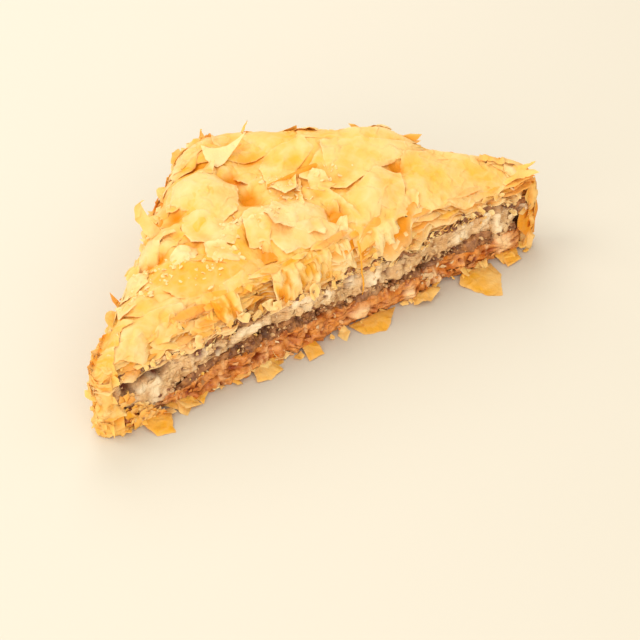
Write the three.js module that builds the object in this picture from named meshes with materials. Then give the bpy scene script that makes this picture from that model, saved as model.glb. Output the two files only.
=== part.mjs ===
// A triangular piece of walnut baklava: half of a baked square, cut corner to corner.
// Millimetres, +Z up. The cut face looks along -Y, the right-angled baked corner points
// along +Y, and z = 0 is the flat base. From the bottom the food is a syrup-soaked stack of
// leaves, a walnut layer, a moist middle stack, a thinner walnut layer and a puffed flaky top.
import * as THREE from 'three';

// ---- Plan of the piece ----
const CUT_LENGTH = 141;          // the cut, measured between the corners before they are rounded
const DEPTH = 66.5;              // from the cut to the right-angled corner, before it is rounded
const APEX_SHIFT = 2.5;          // how far that corner lies right of the middle of the cut
const LEFT_TIP_ROUNDING = 9;     // how far each rounding reaches along the sides
const RIGHT_TIP_ROUNDING = 8;
const APEX_ROUNDING = 7;

// ---- Heights of the crust ----
const CRUST_HEIGHT = 25.5;       // where the crust meets the middle of the cut
const LEFT_TIP_DROP = 6.5;       // how much lower the crust is at the left tip
const LEFT_DROP_FROM = 8;        // the crust starts to fall this far left of the middle
const LEFT_DROP_LENGTH = 56;
const RIGHT_TIP_DROP = 1.2;
const SHOULDER_RISE = 2.5;       // the knife presses the crust down along the cut
const SHOULDER_WIDTH = 11;
const DOME = { x: 24, y: 37, rise: 4.4, alongX: 24, alongY: 22 };   // y is counted from the cut
const BLISTER = { x: 41, y: 31, rise: 5.2, alongX: 8, alongY: 8 };

// ---- The stack, as heights on the cut face where the crust is at full height ----
const LOWER_WALNUT_Z = 7.2;
const MIDDLE_PASTRY_Z = 10.2;
const UPPER_WALNUT_Z = 15.3;
const TOP_PASTRY_Z = 17.4;
const LEFT_TIP_SQUEEZE = 0.13;   // share of those heights lost at the left tip
const LAYER_WAVE = 0.45;         // the layers rise and dip by this much
const GAP = 0.3;                 // clearance between neighbouring layers

// ---- Leaves of the crust, and flakes ----
const TIP_FLARE = 2.2;           // the crust's leaves stand out this much round both tips
const BASE_TIP_FLARE = 0.9;
const TIP_FLARE_LENGTH = 16;
const FLAKE_THICKNESS = 0.9;
// Flakes of the lowest leaves that reach out in front of the cut, each tapering to its end.
const BASE_FLAKES = [
  { x: 46.5, width: 8, reach: 12.5 },
  { x: 15.0, width: 9, reach: 6.5 },
  { x: -7.5, width: 5, reach: 3.2 },
  { x: -18.5, width: 5, reach: 4.6 },
  { x: -26.0, width: 4, reach: 3.0 },
  { x: -39.5, width: 4, reach: 2.4 },
  { x: -54.5, width: 8, reach: 6.4 },
];
// Torn leaf edges on the crust: each is a small step along a line across the top.
const LEAF_EDGES = [
  { angle: 20, offset: 8, step: 0.8 },
  { angle: 75, offset: 12, step: -0.7 },
  { angle: 115, offset: -16, step: 0.8 },
  { angle: 160, offset: -9, step: 0.6 },
  { angle: 55, offset: 34, step: 0.7 },
];
const LEAF_EDGE_WIDTH = 6;

// ---- Fineness of the surfaces ----
const CUT_STEPS = 34;
const SIDE_STEPS = 20;
const CORNER_STEPS = 5;
const AROUND = CUT_STEPS + 2 * SIDE_STEPS + 3 * CORNER_STEPS;   // points round every layer
const TAU = Math.PI * 2;
const CUT_Y = -DEPTH / 2;

const { smoothstep, degToRad } = THREE.MathUtils;

// The plan outline, counter-clockwise from the left end of the cut.
function planOutline() {
  const left = new THREE.Vector2(-CUT_LENGTH / 2, CUT_Y);
  const right = new THREE.Vector2(CUT_LENGTH / 2, CUT_Y);
  const apex = new THREE.Vector2(APEX_SHIFT, CUT_Y + DEPTH);
  const towards = (from, to, reach) => from.clone().add(to.clone().sub(from).setLength(reach));
  const shape = new THREE.Shape();
  const start = towards(left, right, LEFT_TIP_ROUNDING);
  shape.moveTo(start.x, start.y);
  const corner = (point, before, after, reach) => {
    const arrival = towards(point, before, reach);
    const departure = towards(point, after, reach);
    shape.lineTo(arrival.x, arrival.y);
    shape.quadraticCurveTo(point.x, point.y, departure.x, departure.y);
  };
  corner(right, left, apex, RIGHT_TIP_ROUNDING);
  corner(apex, right, left, APEX_ROUNDING);
  corner(left, apex, right, LEFT_TIP_ROUNDING);
  const steps = [CUT_STEPS, CORNER_STEPS, SIDE_STEPS, CORNER_STEPS, SIDE_STEPS, CORNER_STEPS];
  return shape.curves.flatMap((curve, k) => curve.getSpacedPoints(steps[k]).slice(0, steps[k]));
}

const outline = planOutline();
const heart = outline
  .reduce((sum, point) => sum.add(point), new THREE.Vector2())
  .divideScalar(AROUND);
const outward = outline.map((point, i) => {
  const before = outline[(i + AROUND - 1) % AROUND];
  const after = outline[(i + 1) % AROUND];
  return new THREE.Vector2(after.y - before.y, before.x - after.x).normalize();
});

// 0 away from the left tip, 1 at it.
const leftShare = (x) => smoothstep(-x - LEFT_DROP_FROM, 0, LEFT_DROP_LENGTH);

const swell = (bump, x, y) => {
  const across = (x - bump.x) / bump.alongX;
  const along = (y - CUT_Y - bump.y) / bump.alongY;
  return bump.rise * Math.exp(-across * across - along * along);
};

// Steps of the torn leaves that lie on the crust.
function leafSteps(x, y) {
  return LEAF_EDGES.reduce((sum, edge) => {
    const turn = degToRad(edge.angle);
    const past = x * Math.cos(turn) + y * Math.sin(turn) - edge.offset;
    return sum + edge.step * (smoothstep(past, 0, LEAF_EDGE_WIDTH) - 0.5);
  }, 0);
}

// Height of the crust, without its leaf steps.
function crustBody(x, y) {
  const left = leftShare(x);
  const right = smoothstep(x, 0.6 * CUT_LENGTH / 2, CUT_LENGTH / 2);
  const shoulder = smoothstep(y - CUT_Y, 0, SHOULDER_WIDTH) * (1 - 0.8 * left);
  return CRUST_HEIGHT - LEFT_TIP_DROP * left - RIGHT_TIP_DROP * right
    + SHOULDER_RISE * shoulder + swell(DOME, x, y) + swell(BLISTER, x, y);
}

const crustTop = (x, y) => crustBody(x, y) + leafSteps(x, y);

// Height of the boundary between two layers that is at z on the middle of the cut.
function boundary(z) {
  return (x, y) => {
    const wave = Math.sin(x / 9 + z) * 0.6 + Math.sin(x / 4.3 + y / 11 + 2 * z) * 0.4;
    const lift = 0.12 * swell(DOME, x, y) * z / TOP_PASTRY_Z;
    return z * (1 - LEFT_TIP_SQUEEZE * leftShare(x)) + LAYER_WAVE * wave + lift;
  };
}

// An uneven number from about -1 to 1 that closes on itself round the outline.
function ripple(i, seed) {
  const turn = TAU * i / AROUND;
  return 0.45 * Math.sin(11 * turn + seed) + 0.33 * Math.sin(19 * turn + 2.3 * seed)
    + 0.22 * Math.sin(31 * turn + 5.1 * seed);
}

// 1 on the cut face, 0 on the two baked sides.
const cutShare = (i) => smoothstep(-outward[i].y, 0.8, 0.98);

// 1 at either tip, 0 a little way along the sides.
const tipShare = (x) => smoothstep(Math.abs(x), CUT_LENGTH / 2 - TIP_FLARE_LENGTH, CUT_LENGTH / 2 - 3);

// How far the base flakes reach out at a point of the outline.
function flakeReach(i) {
  return BASE_FLAKES.reduce((most, flake) => {
    const aside = Math.abs(outline[i].x - flake.x) / (flake.width / 2 + 1);
    return Math.max(most, flake.reach * (1 - smoothstep(aside, 0.2, 1.3)));
  }, 0) * cutShare(i);
}

// One layer is turned like a lathe profile, from the middle of its underside to the middle of
// its top, and each ring is then spread to the plan outline. A row of the profile says
// share:  how far from the heart to the outline the ring lies
// reach:  how far it stands out past the outline, as a function of the point's number
// height: its height, as a function of x and y
function layer(name, colour, roughness, rows) {
  const profile = rows.map((row, k) => new THREE.Vector2(row.share, k));
  const geometry = new THREE.LatheGeometry(profile, AROUND);
  const position = geometry.getAttribute('position');
  for (let n = 0; n < position.count; n += 1) {
    const row = rows[n % rows.length];
    const i = Math.floor(n / rows.length) % AROUND;
    const reach = row.reach ? row.reach(i) : 0;
    const x = heart.x + row.share * (outline[i].x - heart.x) + reach * outward[i].x;
    const y = heart.y + row.share * (outline[i].y - heart.y) + reach * outward[i].y;
    position.setXYZ(n, x, y, row.height(x, y));
  }
  geometry.computeVertexNormals();
  const material = new THREE.MeshStandardMaterial({ color: colour, roughness, metalness: 0 });
  const mesh = new THREE.Mesh(geometry, material);
  mesh.name = name;
  return mesh;
}

const mix = (low, high, share) => (x, y) => THREE.MathUtils.lerp(low(x, y), high(x, y), share);
const raised = (surface, by) => (x, y) => surface(x, y) + by;

// Rings of an inner surface, from the edge to the middle. Every layer uses the same ones, so
// that neighbouring layers stay parallel.
const INNER_RINGS = [0.93, 0.66, 0.34, 0];
const innerRows = (height) => INNER_RINGS.map((share) => ({ share, height }));

// A side row: the ring stands out by base, by ripples and, on the baked sides, by sideBase.
const sideRow = (height, base, sideBase, rough, seed, extra = () => 0) => ({
  share: 1,
  height,
  reach: (i) => base * cutShare(i) + sideBase * (1 - cutShare(i)) + rough * ripple(i, seed) + extra(i),
});

const lowerWalnutAt = boundary(LOWER_WALNUT_Z);
const middlePastryAt = boundary(MIDDLE_PASTRY_Z);
const upperWalnutAt = boundary(UPPER_WALNUT_Z);
const topPastryAt = boundary(TOP_PASTRY_Z);
const flare = (i) => TIP_FLARE * tipShare(outline[i].x);
const baseFlare = (i) => BASE_TIP_FLARE * tipShare(outline[i].x);

// The syrup-soaked bottom stack: a flat base, flakes that reach out, and wavy folds above them.
function bottomPastry() {
  const base = () => 0;
  const flakeTop = () => FLAKE_THICKNESS;
  const top = raised(lowerWalnutAt, -GAP / 2);
  const spread = (i) => flakeReach(i) + baseFlare(i);
  return layer('bottom_pastry', 0xc98f57, 0.55, [
    ...innerRows(base).reverse(),
    sideRow(base, -0.6, -0.6, 0.3, 1.3, spread),
    sideRow(flakeTop, -0.4, -0.2, 0.4, 1.3, spread),
    sideRow(mix(flakeTop, top, 0.2), 0.1, 0.2, 0.6, 2.9, baseFlare),
    sideRow(mix(flakeTop, top, 0.55), 0.5, 0.5, 0.7, 4.1),
    sideRow(mix(flakeTop, top, 0.8), 0.0, 0.3, 0.7, 5.7),
    sideRow(top, -0.6, -0.2, 0.5, 6.1),
    ...innerRows(top),
  ]);
}

// A layer of chopped walnut, set back a little between the leaves.
function walnut(name, colour, under, over, setBack, seed) {
  const low = raised(under, GAP / 2);
  const high = raised(over, -GAP / 2);
  return layer(name, colour, 0.8, [
    ...innerRows(low).reverse(),
    sideRow(low, -setBack, -setBack - 0.9, 0.4, seed),
    sideRow(mix(low, high, 0.5), 0.4 - setBack, -setBack - 0.5, 0.7, seed + 1.7),
    sideRow(high, -setBack, -setBack - 0.9, 0.4, seed + 3.1),
    ...innerRows(high),
  ]);
}

// The moist middle stack, smeared by the knife.
function middlePastry() {
  const low = raised(middlePastryAt, GAP / 2);
  const high = raised(upperWalnutAt, -GAP / 2);
  return layer('middle_pastry', 0xd6bd97, 0.6, [
    ...innerRows(low).reverse(),
    sideRow(low, -0.3, 0.0, 0.4, 7.7),
    sideRow(mix(low, high, 0.35), 0.2, 0.5, 0.5, 8.3),
    sideRow(mix(low, high, 0.7), 0.1, 0.4, 0.5, 9.2),
    sideRow(high, -0.3, 0.1, 0.4, 9.9),
    ...innerRows(high),
  ]);
}

// The baked top: pale leaves at its foot, browned leaves that stand out in steps above them,
// and the domed crust.
const CRUST_RINGS = [0.965, 0.9, 0.8, 0.67, 0.52, 0.36, 0.18, 0];

function topPastry() {
  const low = raised(topPastryAt, GAP / 2);
  const rim = raised(crustTop, -0.5);
  return layer('top_pastry', 0xf0b24e, 0.5, [
    ...innerRows(low).reverse(),
    sideRow(low, -0.4, -0.2, 0.4, 3.4),
    sideRow(mix(low, rim, 0.3), 0.2, 0.6, 0.6, 4.8, flare),
    sideRow(mix(low, rim, 0.55), -0.3, 0.3, 0.7, 6.6, flare),
    sideRow(mix(low, rim, 0.8), 0.1, 0.9, 0.7, 7.1, flare),
    sideRow(rim, -0.9, 0.2, 0.6, 8.8, flare),
    ...CRUST_RINGS.map((share) => ({ share, height: crustTop })),
  ]);
}

const baklava = new THREE.Group();
baklava.add(
  bottomPastry(),
  walnut('lower_walnut', 0x6a4a36, lowerWalnutAt, middlePastryAt, 0.7, 10.3),
  middlePastry(),
  walnut('upper_walnut', 0x7a5a44, upperWalnutAt, topPastryAt, 0.9, 14.6),
  topPastry(),
);

// The origin is the middle of the base of the whole piece.
const extent = new THREE.Box3().setFromObject(baklava, true);
const middle = extent.getCenter(new THREE.Vector3());
baklava.position.set(-middle.x, -middle.y, 0);

export default baklava;
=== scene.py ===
import functools
import math

import bmesh
import bpy
import numpy as np
from mathutils import Matrix, Quaternion, Vector
from mathutils.bvhtree import BVHTree


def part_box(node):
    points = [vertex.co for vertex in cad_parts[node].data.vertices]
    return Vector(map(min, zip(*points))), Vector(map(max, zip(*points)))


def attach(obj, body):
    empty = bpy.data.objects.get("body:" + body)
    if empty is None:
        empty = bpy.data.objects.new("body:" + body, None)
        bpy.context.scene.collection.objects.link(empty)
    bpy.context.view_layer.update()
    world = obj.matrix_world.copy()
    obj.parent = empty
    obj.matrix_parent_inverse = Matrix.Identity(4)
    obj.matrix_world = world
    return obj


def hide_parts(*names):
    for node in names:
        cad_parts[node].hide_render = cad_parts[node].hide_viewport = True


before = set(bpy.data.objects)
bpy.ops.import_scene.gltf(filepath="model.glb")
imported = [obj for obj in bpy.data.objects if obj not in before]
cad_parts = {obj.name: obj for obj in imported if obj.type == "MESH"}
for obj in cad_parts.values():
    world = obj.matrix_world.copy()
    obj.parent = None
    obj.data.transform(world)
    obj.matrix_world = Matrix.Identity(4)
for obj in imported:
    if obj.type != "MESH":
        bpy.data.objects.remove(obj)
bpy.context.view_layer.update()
MM = 0.001

# ---------------------------------------------------------------------------------------------
# The block. A square of baklava is baked in its tray and then cut corner to corner, so the piece
# has two baked sides, one soft cut face, two tips and a right-angled back corner. All lengths
# from here on are in millimetres, and the way round the block starts at the back corner.
# ---------------------------------------------------------------------------------------------
HEART = np.array((1.0, 1.0))
BELOW_ALL, ABOVE_ALL = -50.0, 90.0


def solid_of(node):
    """A packed layer as a tree that rays can be cast at."""
    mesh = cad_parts[node].data
    return BVHTree.FromPolygons([v.co for v in mesh.vertices], [f.vertices for f in mesh.polygons])


def height_at(solid, x, y, from_below=False):
    """The height of a layer's top, or of its underside, at a place in the plan; None beside it."""
    start, up = (BELOW_ALL, 1) if from_below else (ABOVE_ALL, -1)
    found = solid.ray_cast(Vector((x, y, start)) * MM, Vector((0, 0, up)))[0]
    return None if found is None else found.z / MM


def evened(values, passes):
    """A closed run of values with its small steps rubbed out."""
    for _ in range(passes):
        values = (np.roll(values, 1, axis=0) + 2 * values + np.roll(values, -1, axis=0)) / 4
    return values


class Rim:
    """The block's outline in plan, anticlockwise, from which places and outward ways are read."""

    def __init__(self, solid, steps=1440, passes=60, nearest=5.0, farthest=90.0, exact=0.02):
        points = []
        for turn in np.linspace(0, 2 * math.pi, steps, endpoint=False):
            way = np.array((math.cos(turn), math.sin(turn)))
            inside, outside = nearest, farthest
            while outside - inside > exact:
                middle = (inside + outside) / 2
                if height_at(solid, *(HEART + way * middle)) is None:
                    outside = middle
                else:
                    inside = middle
            points.append(HEART + way * inside)
        points = np.array(points)
        points = self.spaced(np.roll(points, -int(points[:, 1].argmax()), axis=0), steps)
        points = evened(points, passes)
        ahead = np.roll(points, -1, axis=0) - np.roll(points, 1, axis=0)
        ahead /= np.linalg.norm(ahead, axis=1)[:, None]
        self.points = points
        self.out = evened(np.stack((ahead[:, 1], -ahead[:, 0]), axis=1), passes // 2)
        self.length = float(np.linalg.norm(np.roll(points, -1, axis=0) - points, axis=1).sum())
        from_heart = points - HEART
        radius = np.hypot(*from_heart.T)
        slant = np.clip((from_heart * self.out).sum(axis=1) / radius, 0.1, 1)
        order = np.argsort(np.arctan2(from_heart[:, 1], from_heart[:, 0]))
        self.turn = np.arctan2(from_heart[:, 1], from_heart[:, 0])[order]
        self.radius, self.slant = radius[order], slant[order]

    @staticmethod
    def spaced(points, steps):
        """The same outline with its points at equal steps along it."""
        closed = np.vstack((points, points[:1]))
        way = np.concatenate(((0,), np.cumsum(np.linalg.norm(np.diff(closed, axis=0), axis=1))))
        even = np.linspace(0, way[-1], steps, endpoint=False)
        return np.stack([np.interp(even, way, closed[:, i]) for i in (0, 1)], axis=1)

    def read(self, values, way):
        """A value that is known all along the outline, at a way round in millimetres."""
        steps = len(values)
        return np.interp(way / self.length * steps, np.arange(steps + 1), np.append(values, values[0]))

    def at(self, way):
        """Place and outward direction, as x, y, out_x, out_y."""
        return [self.read(values[:, i], way) for values in (self.points, self.out) for i in (0, 1)]

    def spot(self, way):
        """The same for a single way round, as plain numbers."""
        return [float(value) for value in self.at(way)]

    def depth(self, x, y):
        """About how far inside the outline a place is, and below 0 outside it."""
        x, y = np.asarray(x) - HEART[0], np.asarray(y) - HEART[1]
        here = np.arctan2(y, x)
        radius = np.interp(here, self.turn, self.radius, period=2 * math.pi)
        return (radius - np.hypot(x, y)) * np.interp(here, self.turn, self.slant, period=2 * math.pi)


rim = Rim(solid_of("middle_pastry"))
CUT_Y = float(np.median(rim.points[rim.out[:, 1] < -0.95][:, 1]))

# ---------------------------------------------------------------------------------------------
# Bottom pastry. The lowest sheets of phyllo lie in the syrup, so they are caramel brown, glossy and
# pressed into wavy folds that the knife has torn, with cracks between them darkened with painted shade.
# ---------------------------------------------------------------------------------------------
ROUND = np.linspace(0, rim.length, 360, endpoint=False)
LEVEL_INSET = 3.5
CAP_ROWS = 0.12
LAP = 0.25
TIP_TURN_FROM, TIP_TURN_OVER = 0.6, 0.35
CUT_DETAIL = 2.4
LATTICE = 32
WELD = 0.004


def levels_of(node):
    """The underside and the top of a layer just inside the outline, each as a function of the way."""
    solid = solid_of(node)
    x, y, out_x, out_y = rim.at(ROUND)
    found = []
    for from_below in (True, False):
        heights = [height_at(solid, a - LEVEL_INSET * c, b - LEVEL_INSET * d, from_below)
                   for a, b, c, d in zip(x, y, out_x, out_y)]
        heights = evened(np.array(heights, dtype=float), 3)
        found.append(functools.partial(rim.read, heights))
    return found


def held(values):
    """Values kept between 0 and 1."""
    return np.clip(values, 0, 1)


def facing_cut(out_y):
    """1 where the wall is the cut face, 0 where it is a baked side, with the tips between."""
    return held((-out_y - TIP_TURN_FROM) / TIP_TURN_OVER)


closeness = np.cumsum(1 + (CUT_DETAIL - 1) * facing_cut(rim.out[:, 1]))
closeness = np.concatenate(((0,), closeness / closeness[-1]))


def way_round(u):
    """The way round in millimetres for a share u of a grid's columns, closer set on the cut."""
    return np.interp(u, closeness, np.linspace(0, rim.length, len(closeness)))


@functools.lru_cache(maxsize=None)
def lattice(seed):
    """Random values for the corners of a block of cells, which repeats in all directions."""
    return np.random.default_rng(seed).uniform(-1, 1, (LATTICE,) * 3)


def hills(x, y, z, size, seed):
    """Smooth random values between -1 and 1 at places in space, with hills about size apart."""
    spots = [np.asarray(p, dtype=float) / size for p in np.broadcast_arrays(x, y, z)]
    low = [np.floor(p).astype(int) for p in spots]
    ease = [(p - f) ** 2 * (3 - 2 * (p - f)) for p, f in zip(spots, low)]
    table, total = lattice(seed), 0.0
    for i in (0, 1):
        for j in (0, 1):
            for k in (0, 1):
                share = 1.0
                for part, step in zip(ease, (i, j, k)):
                    share = share * (part if step else 1 - part)
                corner = tuple((p + step) % LATTICE for p, step in zip(low, (i, j, k)))
                total = total + share * table[corner]
    return total


def lay_grid(piece, columns, rows, place):
    """Adds a grid to a bmesh. place(u, v) gives its points, in millimetres, and its marks by name."""
    grid = bmesh.new()
    bmesh.ops.create_grid(grid, x_segments=columns, y_segments=rows, size=1.0)
    mesh = bpy.data.meshes.new("grid")
    grid.to_mesh(mesh)
    grid.free()
    corners = np.empty(len(mesh.vertices) * 3, dtype=np.float32)
    mesh.vertices.foreach_get("co", corners)
    points, marks = place(corners[0::3] / 2 + 0.5, corners[1::3] / 2 + 0.5)
    spots = np.stack(points, axis=1).astype(np.float32) * MM
    mesh.vertices.foreach_set("co", spots.ravel())
    for name, values in marks.items():
        layer = mesh.attributes.new(name, "FLOAT", "POINT")
        layer.data.foreach_set("value", np.broadcast_to(values, len(spots)).astype(np.float32))
    mesh.update()
    piece.from_mesh(mesh)
    bpy.data.meshes.remove(mesh)


def finish(piece, name, material, replaced=(), crease=40, later=None):
    """Makes a bmesh an object of its own that rides with the food and stands for its layers.
    later(x, y, z) gives what to add to its marks at places."""
    bmesh.ops.remove_doubles(piece, verts=piece.verts, dist=WELD * MM)
    bmesh.ops.recalc_face_normals(piece, faces=piece.faces)
    mesh = bpy.data.meshes.new(name)
    piece.to_mesh(mesh)
    piece.free()
    if later:
        spots = np.empty(len(mesh.vertices) * 3, dtype=np.float32)
        mesh.vertices.foreach_get("co", spots)
        for mark, extra in later(*(spots.reshape(-1, 3).T / MM)).items():
            values = np.empty(len(mesh.vertices), dtype=np.float32)
            mesh.attributes[mark].data.foreach_get("value", values)
            mesh.attributes[mark].data.foreach_set("value", held(values + extra).astype(np.float32))
    mesh.shade_smooth()
    mesh.set_sharp_from_angle(angle=math.radians(crease))
    mesh.materials.append(material)
    made = bpy.data.objects.new(name, mesh)
    bpy.context.scene.collection.objects.link(made)
    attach(made, "root")
    for node in replaced:
        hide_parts(node)
    return made


def between(lower_top, upper_low, wave, seed):
    """The uneven line where one layer meets the next, as a height for each way round."""
    def level(way):
        x, y, _, _ = rim.at(way)
        return (lower_top(way) + upper_low(way)) / 2 + wave * (
            hills(x, y, 0, 8, seed) + 0.6 * hills(x, y, 0, 3, seed + 1))
    return level


def block(piece, columns, rows, low, high, relief):
    """Adds a closed block between two levels. relief(x, y, z, share, cut) gives how far its wall
    stands out at each place, and its marks; share runs from the underside, 0, to the top, 1."""
    def place(u, v):
        way = way_round(u)
        x, y, out_x, out_y = rim.at(way)
        bottom, top = low(way), high(way)
        share = np.interp(v, (CAP_ROWS, 1 - CAP_ROWS), (0, 1))
        reach = np.interp(v, (0, CAP_ROWS, 1 - CAP_ROWS, 1), (0, 1, 1, 0))
        z = bottom + share * (top - bottom)
        cut = facing_cut(out_y)
        stand, marks = relief(x, y, z, share, cut)
        marks["cut"] = cut
        x = HEART[0] + (x + out_x * stand - HEART[0]) * reach
        y = HEART[1] + (y + out_y * stand - HEART[1]) * reach
        return (x, y, z), marks
    lay_grid(piece, columns, rows, place)


def pressed_leaves(x, y, z, thick, warp, bend, stand, crack_depth, seed):
    """How far pressed leaves' edges stand out at a place, and how deep it lies in a crack, 0 to 1.
    Warp is how far the leaves wave up and down, over bends of that size."""
    bent = hills(x, y, 1.6 * z, bend, seed) + 0.4 * hills(x, y, 2 * z, 0.4 * bend, seed + 1)
    bed = (z + warp * bent) / thick
    leaf = np.floor(bed)
    from_middle = 2 * np.abs(bed - leaf - 0.5)
    parted = held(0.35 + 1.4 * hills(x, y, leaf * 41, 5, seed + 3))
    crack = from_middle ** 3 * parted
    return stand * hills(x, y, leaf * 37, 2.6, seed + 2) - crack_depth * crack, crack


CAVES = (
    (-55.0, 13.0, 5.5, 0.9), (-59.5, 11.2, 1.4, 2.2), (-50.0, 12.2, 0.6, 1.3),
    (-19.5, 10.0, 2.2, 1.6), (63.0, 10.2, 1.7, 1.6), (30.5, 8.4, 1.8, 0.9),
)


def spread_over(x, z, places, strength):
    """Soft round marks on the cut, 0 to 1, at places that give their middle and reach."""
    return held(sum(strength * np.exp(-((x - a) / wide) ** 2 - ((z - b) / high) ** 2)
                    for a, b, wide, high in places))


def caved(x, z):
    """The few deep holes that the knife tore in the cut, 0 to 1."""
    return spread_over(x, z, CAVES, 1.3)


def torn_unevenly(x, y, z):
    """How far the knife's tearing leaves the whole cut in or out, whatever the layer."""
    return 0.9 * hills(x, y, z, 6.5, 5) + 0.5 * hills(x, y, z, 2.6, 6) - 0.3 - 3.2 * caved(x, z)


POCKETS = (
    (-58, 13.4, 1.0), (-51, 12.5, 0.8), (-40, 13.6, 1.1), (-34, 11.2, 1.1), (-28, 10.1, 1.3),
    (-19.5, 10, 2.0), (-9, 9.3, 1.2), (-3, 8.7, 1.2), (19.5, 6.6, 1.1), (22, 17, 1.6), (31, 8.2, 1.8),
    (40.5, 9.4, 1.1), (58, 16.2, 1.2), (60, 18.3, 1.3), (63.5, 9.7, 2.0), (46, 3.8, 1.2), (-43, 3, 1.1),
    (-30, 4, 1.0), (6, 16, 1.0), (-22, 3.5, 1.0),
)


def hollowed(x, y, z, seed):
    """Torn pits and the deep pockets beside lumps of walnut, 0 to 1, at places on the cut."""
    pits = 2.4 * hills(x, y, z, 1.7, seed) - 1.1
    pockets = sum(np.exp(-(((x - a) / 1.3) ** 2 + (z - b) ** 2) / r ** 2) for a, b, r in POCKETS)
    return held(held(pits) + 1.2 * pockets + caved(x, z))


def smears(x, z, share_of_face, seed):
    """Upright streaks where the knife wiped soft pastry over the cut, 0 to 1."""
    streaks = hills(x, 0, 0.2 * z, 1.6, seed) + 0.5 * hills(x, 0, 0.3 * z, 0.6, seed + 2)
    return held(1.3 * streaks * (hills(x, 0, z, 12, seed + 1) + 0.9) + share_of_face)


WIPED = (
    (7.3, 14.3, 1.5, 2.6), (14, 12.0, 2.2, 3.2), (9.7, 3.3, 2.8, 1.6), (54.5, 11, 1.2, 5.5),
    (57.1, 4.5, 1.6, 3.2), (34.5, 2.8, 0.5, 2.6), (25, 2.6, 1.2, 2.4), (-52, 8.5, 1.5, 5.5),
    (-56.0, 9.8, 1.8, 1.0), (-24, 13.6, 4, 1.3), (-8, 15.2, 4, 1.3), (42, 13.0, 3.0, 1.6),
)


def wiped(x, z):
    """Where the knife left a thick pale smear, 0 to 1, at places on the cut."""
    return spread_over(x, z, WIPED, 1.6)


def soaked_wall(x, y, z, share, cut):
    """Fine leaves and broad torn folds on the cut, and level baked leaves on the sides."""
    fine, fine_crack = pressed_leaves(x, y, z, 0.7, 2.4, 8, 0.15, 0.2, 10)
    folds, fold_crack = pressed_leaves(x, y, z, 2.2, 2.6, 5, 0.8, 1.3, 20)
    baked, baked_crack = pressed_leaves(x, y, z, 1.1, 0.7, 9, 1.0, 1.2, 14)
    smear = np.maximum(smears(x, z, -0.35, 19), wiped(x, z)) * cut
    tucked = 0.8 * held(1 - share * 4)
    pits = hollowed(x, y, z, 23) * (1 - smear)
    torn = (fine + folds) * (1 - 0.7 * smear) + 0.5 * smear + torn_unevenly(x, y, z) - 0.9 * pits
    torn = torn + 0.7 * hills(x, y, z, 3.4, 26) + 0.45 * hills(x, y, z, 1.3, 24)
    torn = torn + 0.35 * hills(x, 0, 0.2 * z, 0.9, 25)
    # The crack mark is painted shade, darkest in the cracks between folds and in the pits, caves and
    # pockets.
    crack = held(0.25 * fine_crack + 1.2 * fold_crack + pits) * (1 - 0.6 * smear)
    return cut * torn + (1 - cut) * (baked - 0.5) - tucked, {
        "crack": cut * crack + (1 - cut) * baked_crack, "smear": smear}


class Shade:
    """A socket of a material, which takes part in sums as a number does."""

    def __init__(self, tree, socket=None):
        self.tree = tree
        self.socket = socket

    def node(self, kind, settings=(), inputs=(), output=0):
        """Adds a node with its settings and the values or links of its sockets."""
        made = self.tree.nodes.new("ShaderNode" + kind)
        for name, value in dict(settings).items():
            setattr(made, name, value)
        for name, value in dict(inputs).items():
            if isinstance(value, Shade):
                self.tree.links.new(value.socket, made.inputs[name])
            else:
                made.inputs[name].default_value = value
        return Shade(self.tree, made.outputs[output] if made.outputs else None)

    def sum(self, operation, first, second=0.0):
        return self.node("Math", {"operation": operation}, {0: first, 1: second})

    def __add__(self, other):
        return self.sum("ADD", self, other)

    def __sub__(self, other):
        return self.sum("SUBTRACT", self, other)

    def __mul__(self, other):
        return self.sum("MULTIPLY", self, other)

    def __rsub__(self, other):
        return self.sum("SUBTRACT", other, self)

    __radd__ = __add__
    __rmul__ = __mul__

    def held(self):
        """The value, kept between 0 and 1."""
        return self.node("Clamp", {}, {0: self})

    def mark(self, name):
        """A mark that the piece's mesh carries."""
        return self.node("Attribute", {"attribute_name": name}, {}, "Fac")

    def grain(self, size, detail=3.0, rough=0.55, stretch=(1, 1, 1)):
        """Noise with grains about size millimetres, pulled long by stretch."""
        place = self.node("TexCoord", {}, {}, "Object")
        place = self.node("Mapping", {}, {"Vector": place, "Scale": stretch})
        inputs = {"Vector": place, "Scale": 1 / (size * MM), "Detail": detail, "Roughness": rough}
        return self.node("TexNoise", {}, inputs)

    def patches(self, size, detail=3.0, stretch=(1, 1, 1)):
        """The same noise with its middle spread out, so that it reaches from 0 to 1."""
        return (self.grain(size, detail, 0.55, stretch) * 3.0 - 1.0).held()

    def crease(self, size):
        """Thin crooked lines, as in crumpled paper: 1 on them and 0 between."""
        return (1.0 - 14.0 * self.sum("ABSOLUTE", self.grain(size, 2) - 0.5)).held()

    def blend(self, share, first, second):
        """One colour turning into another as share goes from 0 to 1."""
        return self.node("Mix", {"data_type": "RGBA"}, {0: share, 6: first, 7: second}, 2)

    def layered(self, colour, *layers):
        """A colour with others laid over it in turn, each by its own share."""
        for share, over in layers:
            colour = self.blend(share, colour, over)
        return colour


def tint(red, green, blue):
    """A screen colour, 0 to 255, as the linear colour that a shader takes."""
    parts = [c / 255 for c in (red, green, blue)]
    return (*[c / 12.92 if c <= 0.04045 else ((c + 0.055) / 1.055) ** 2.4 for c in parts], 1.0)


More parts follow.
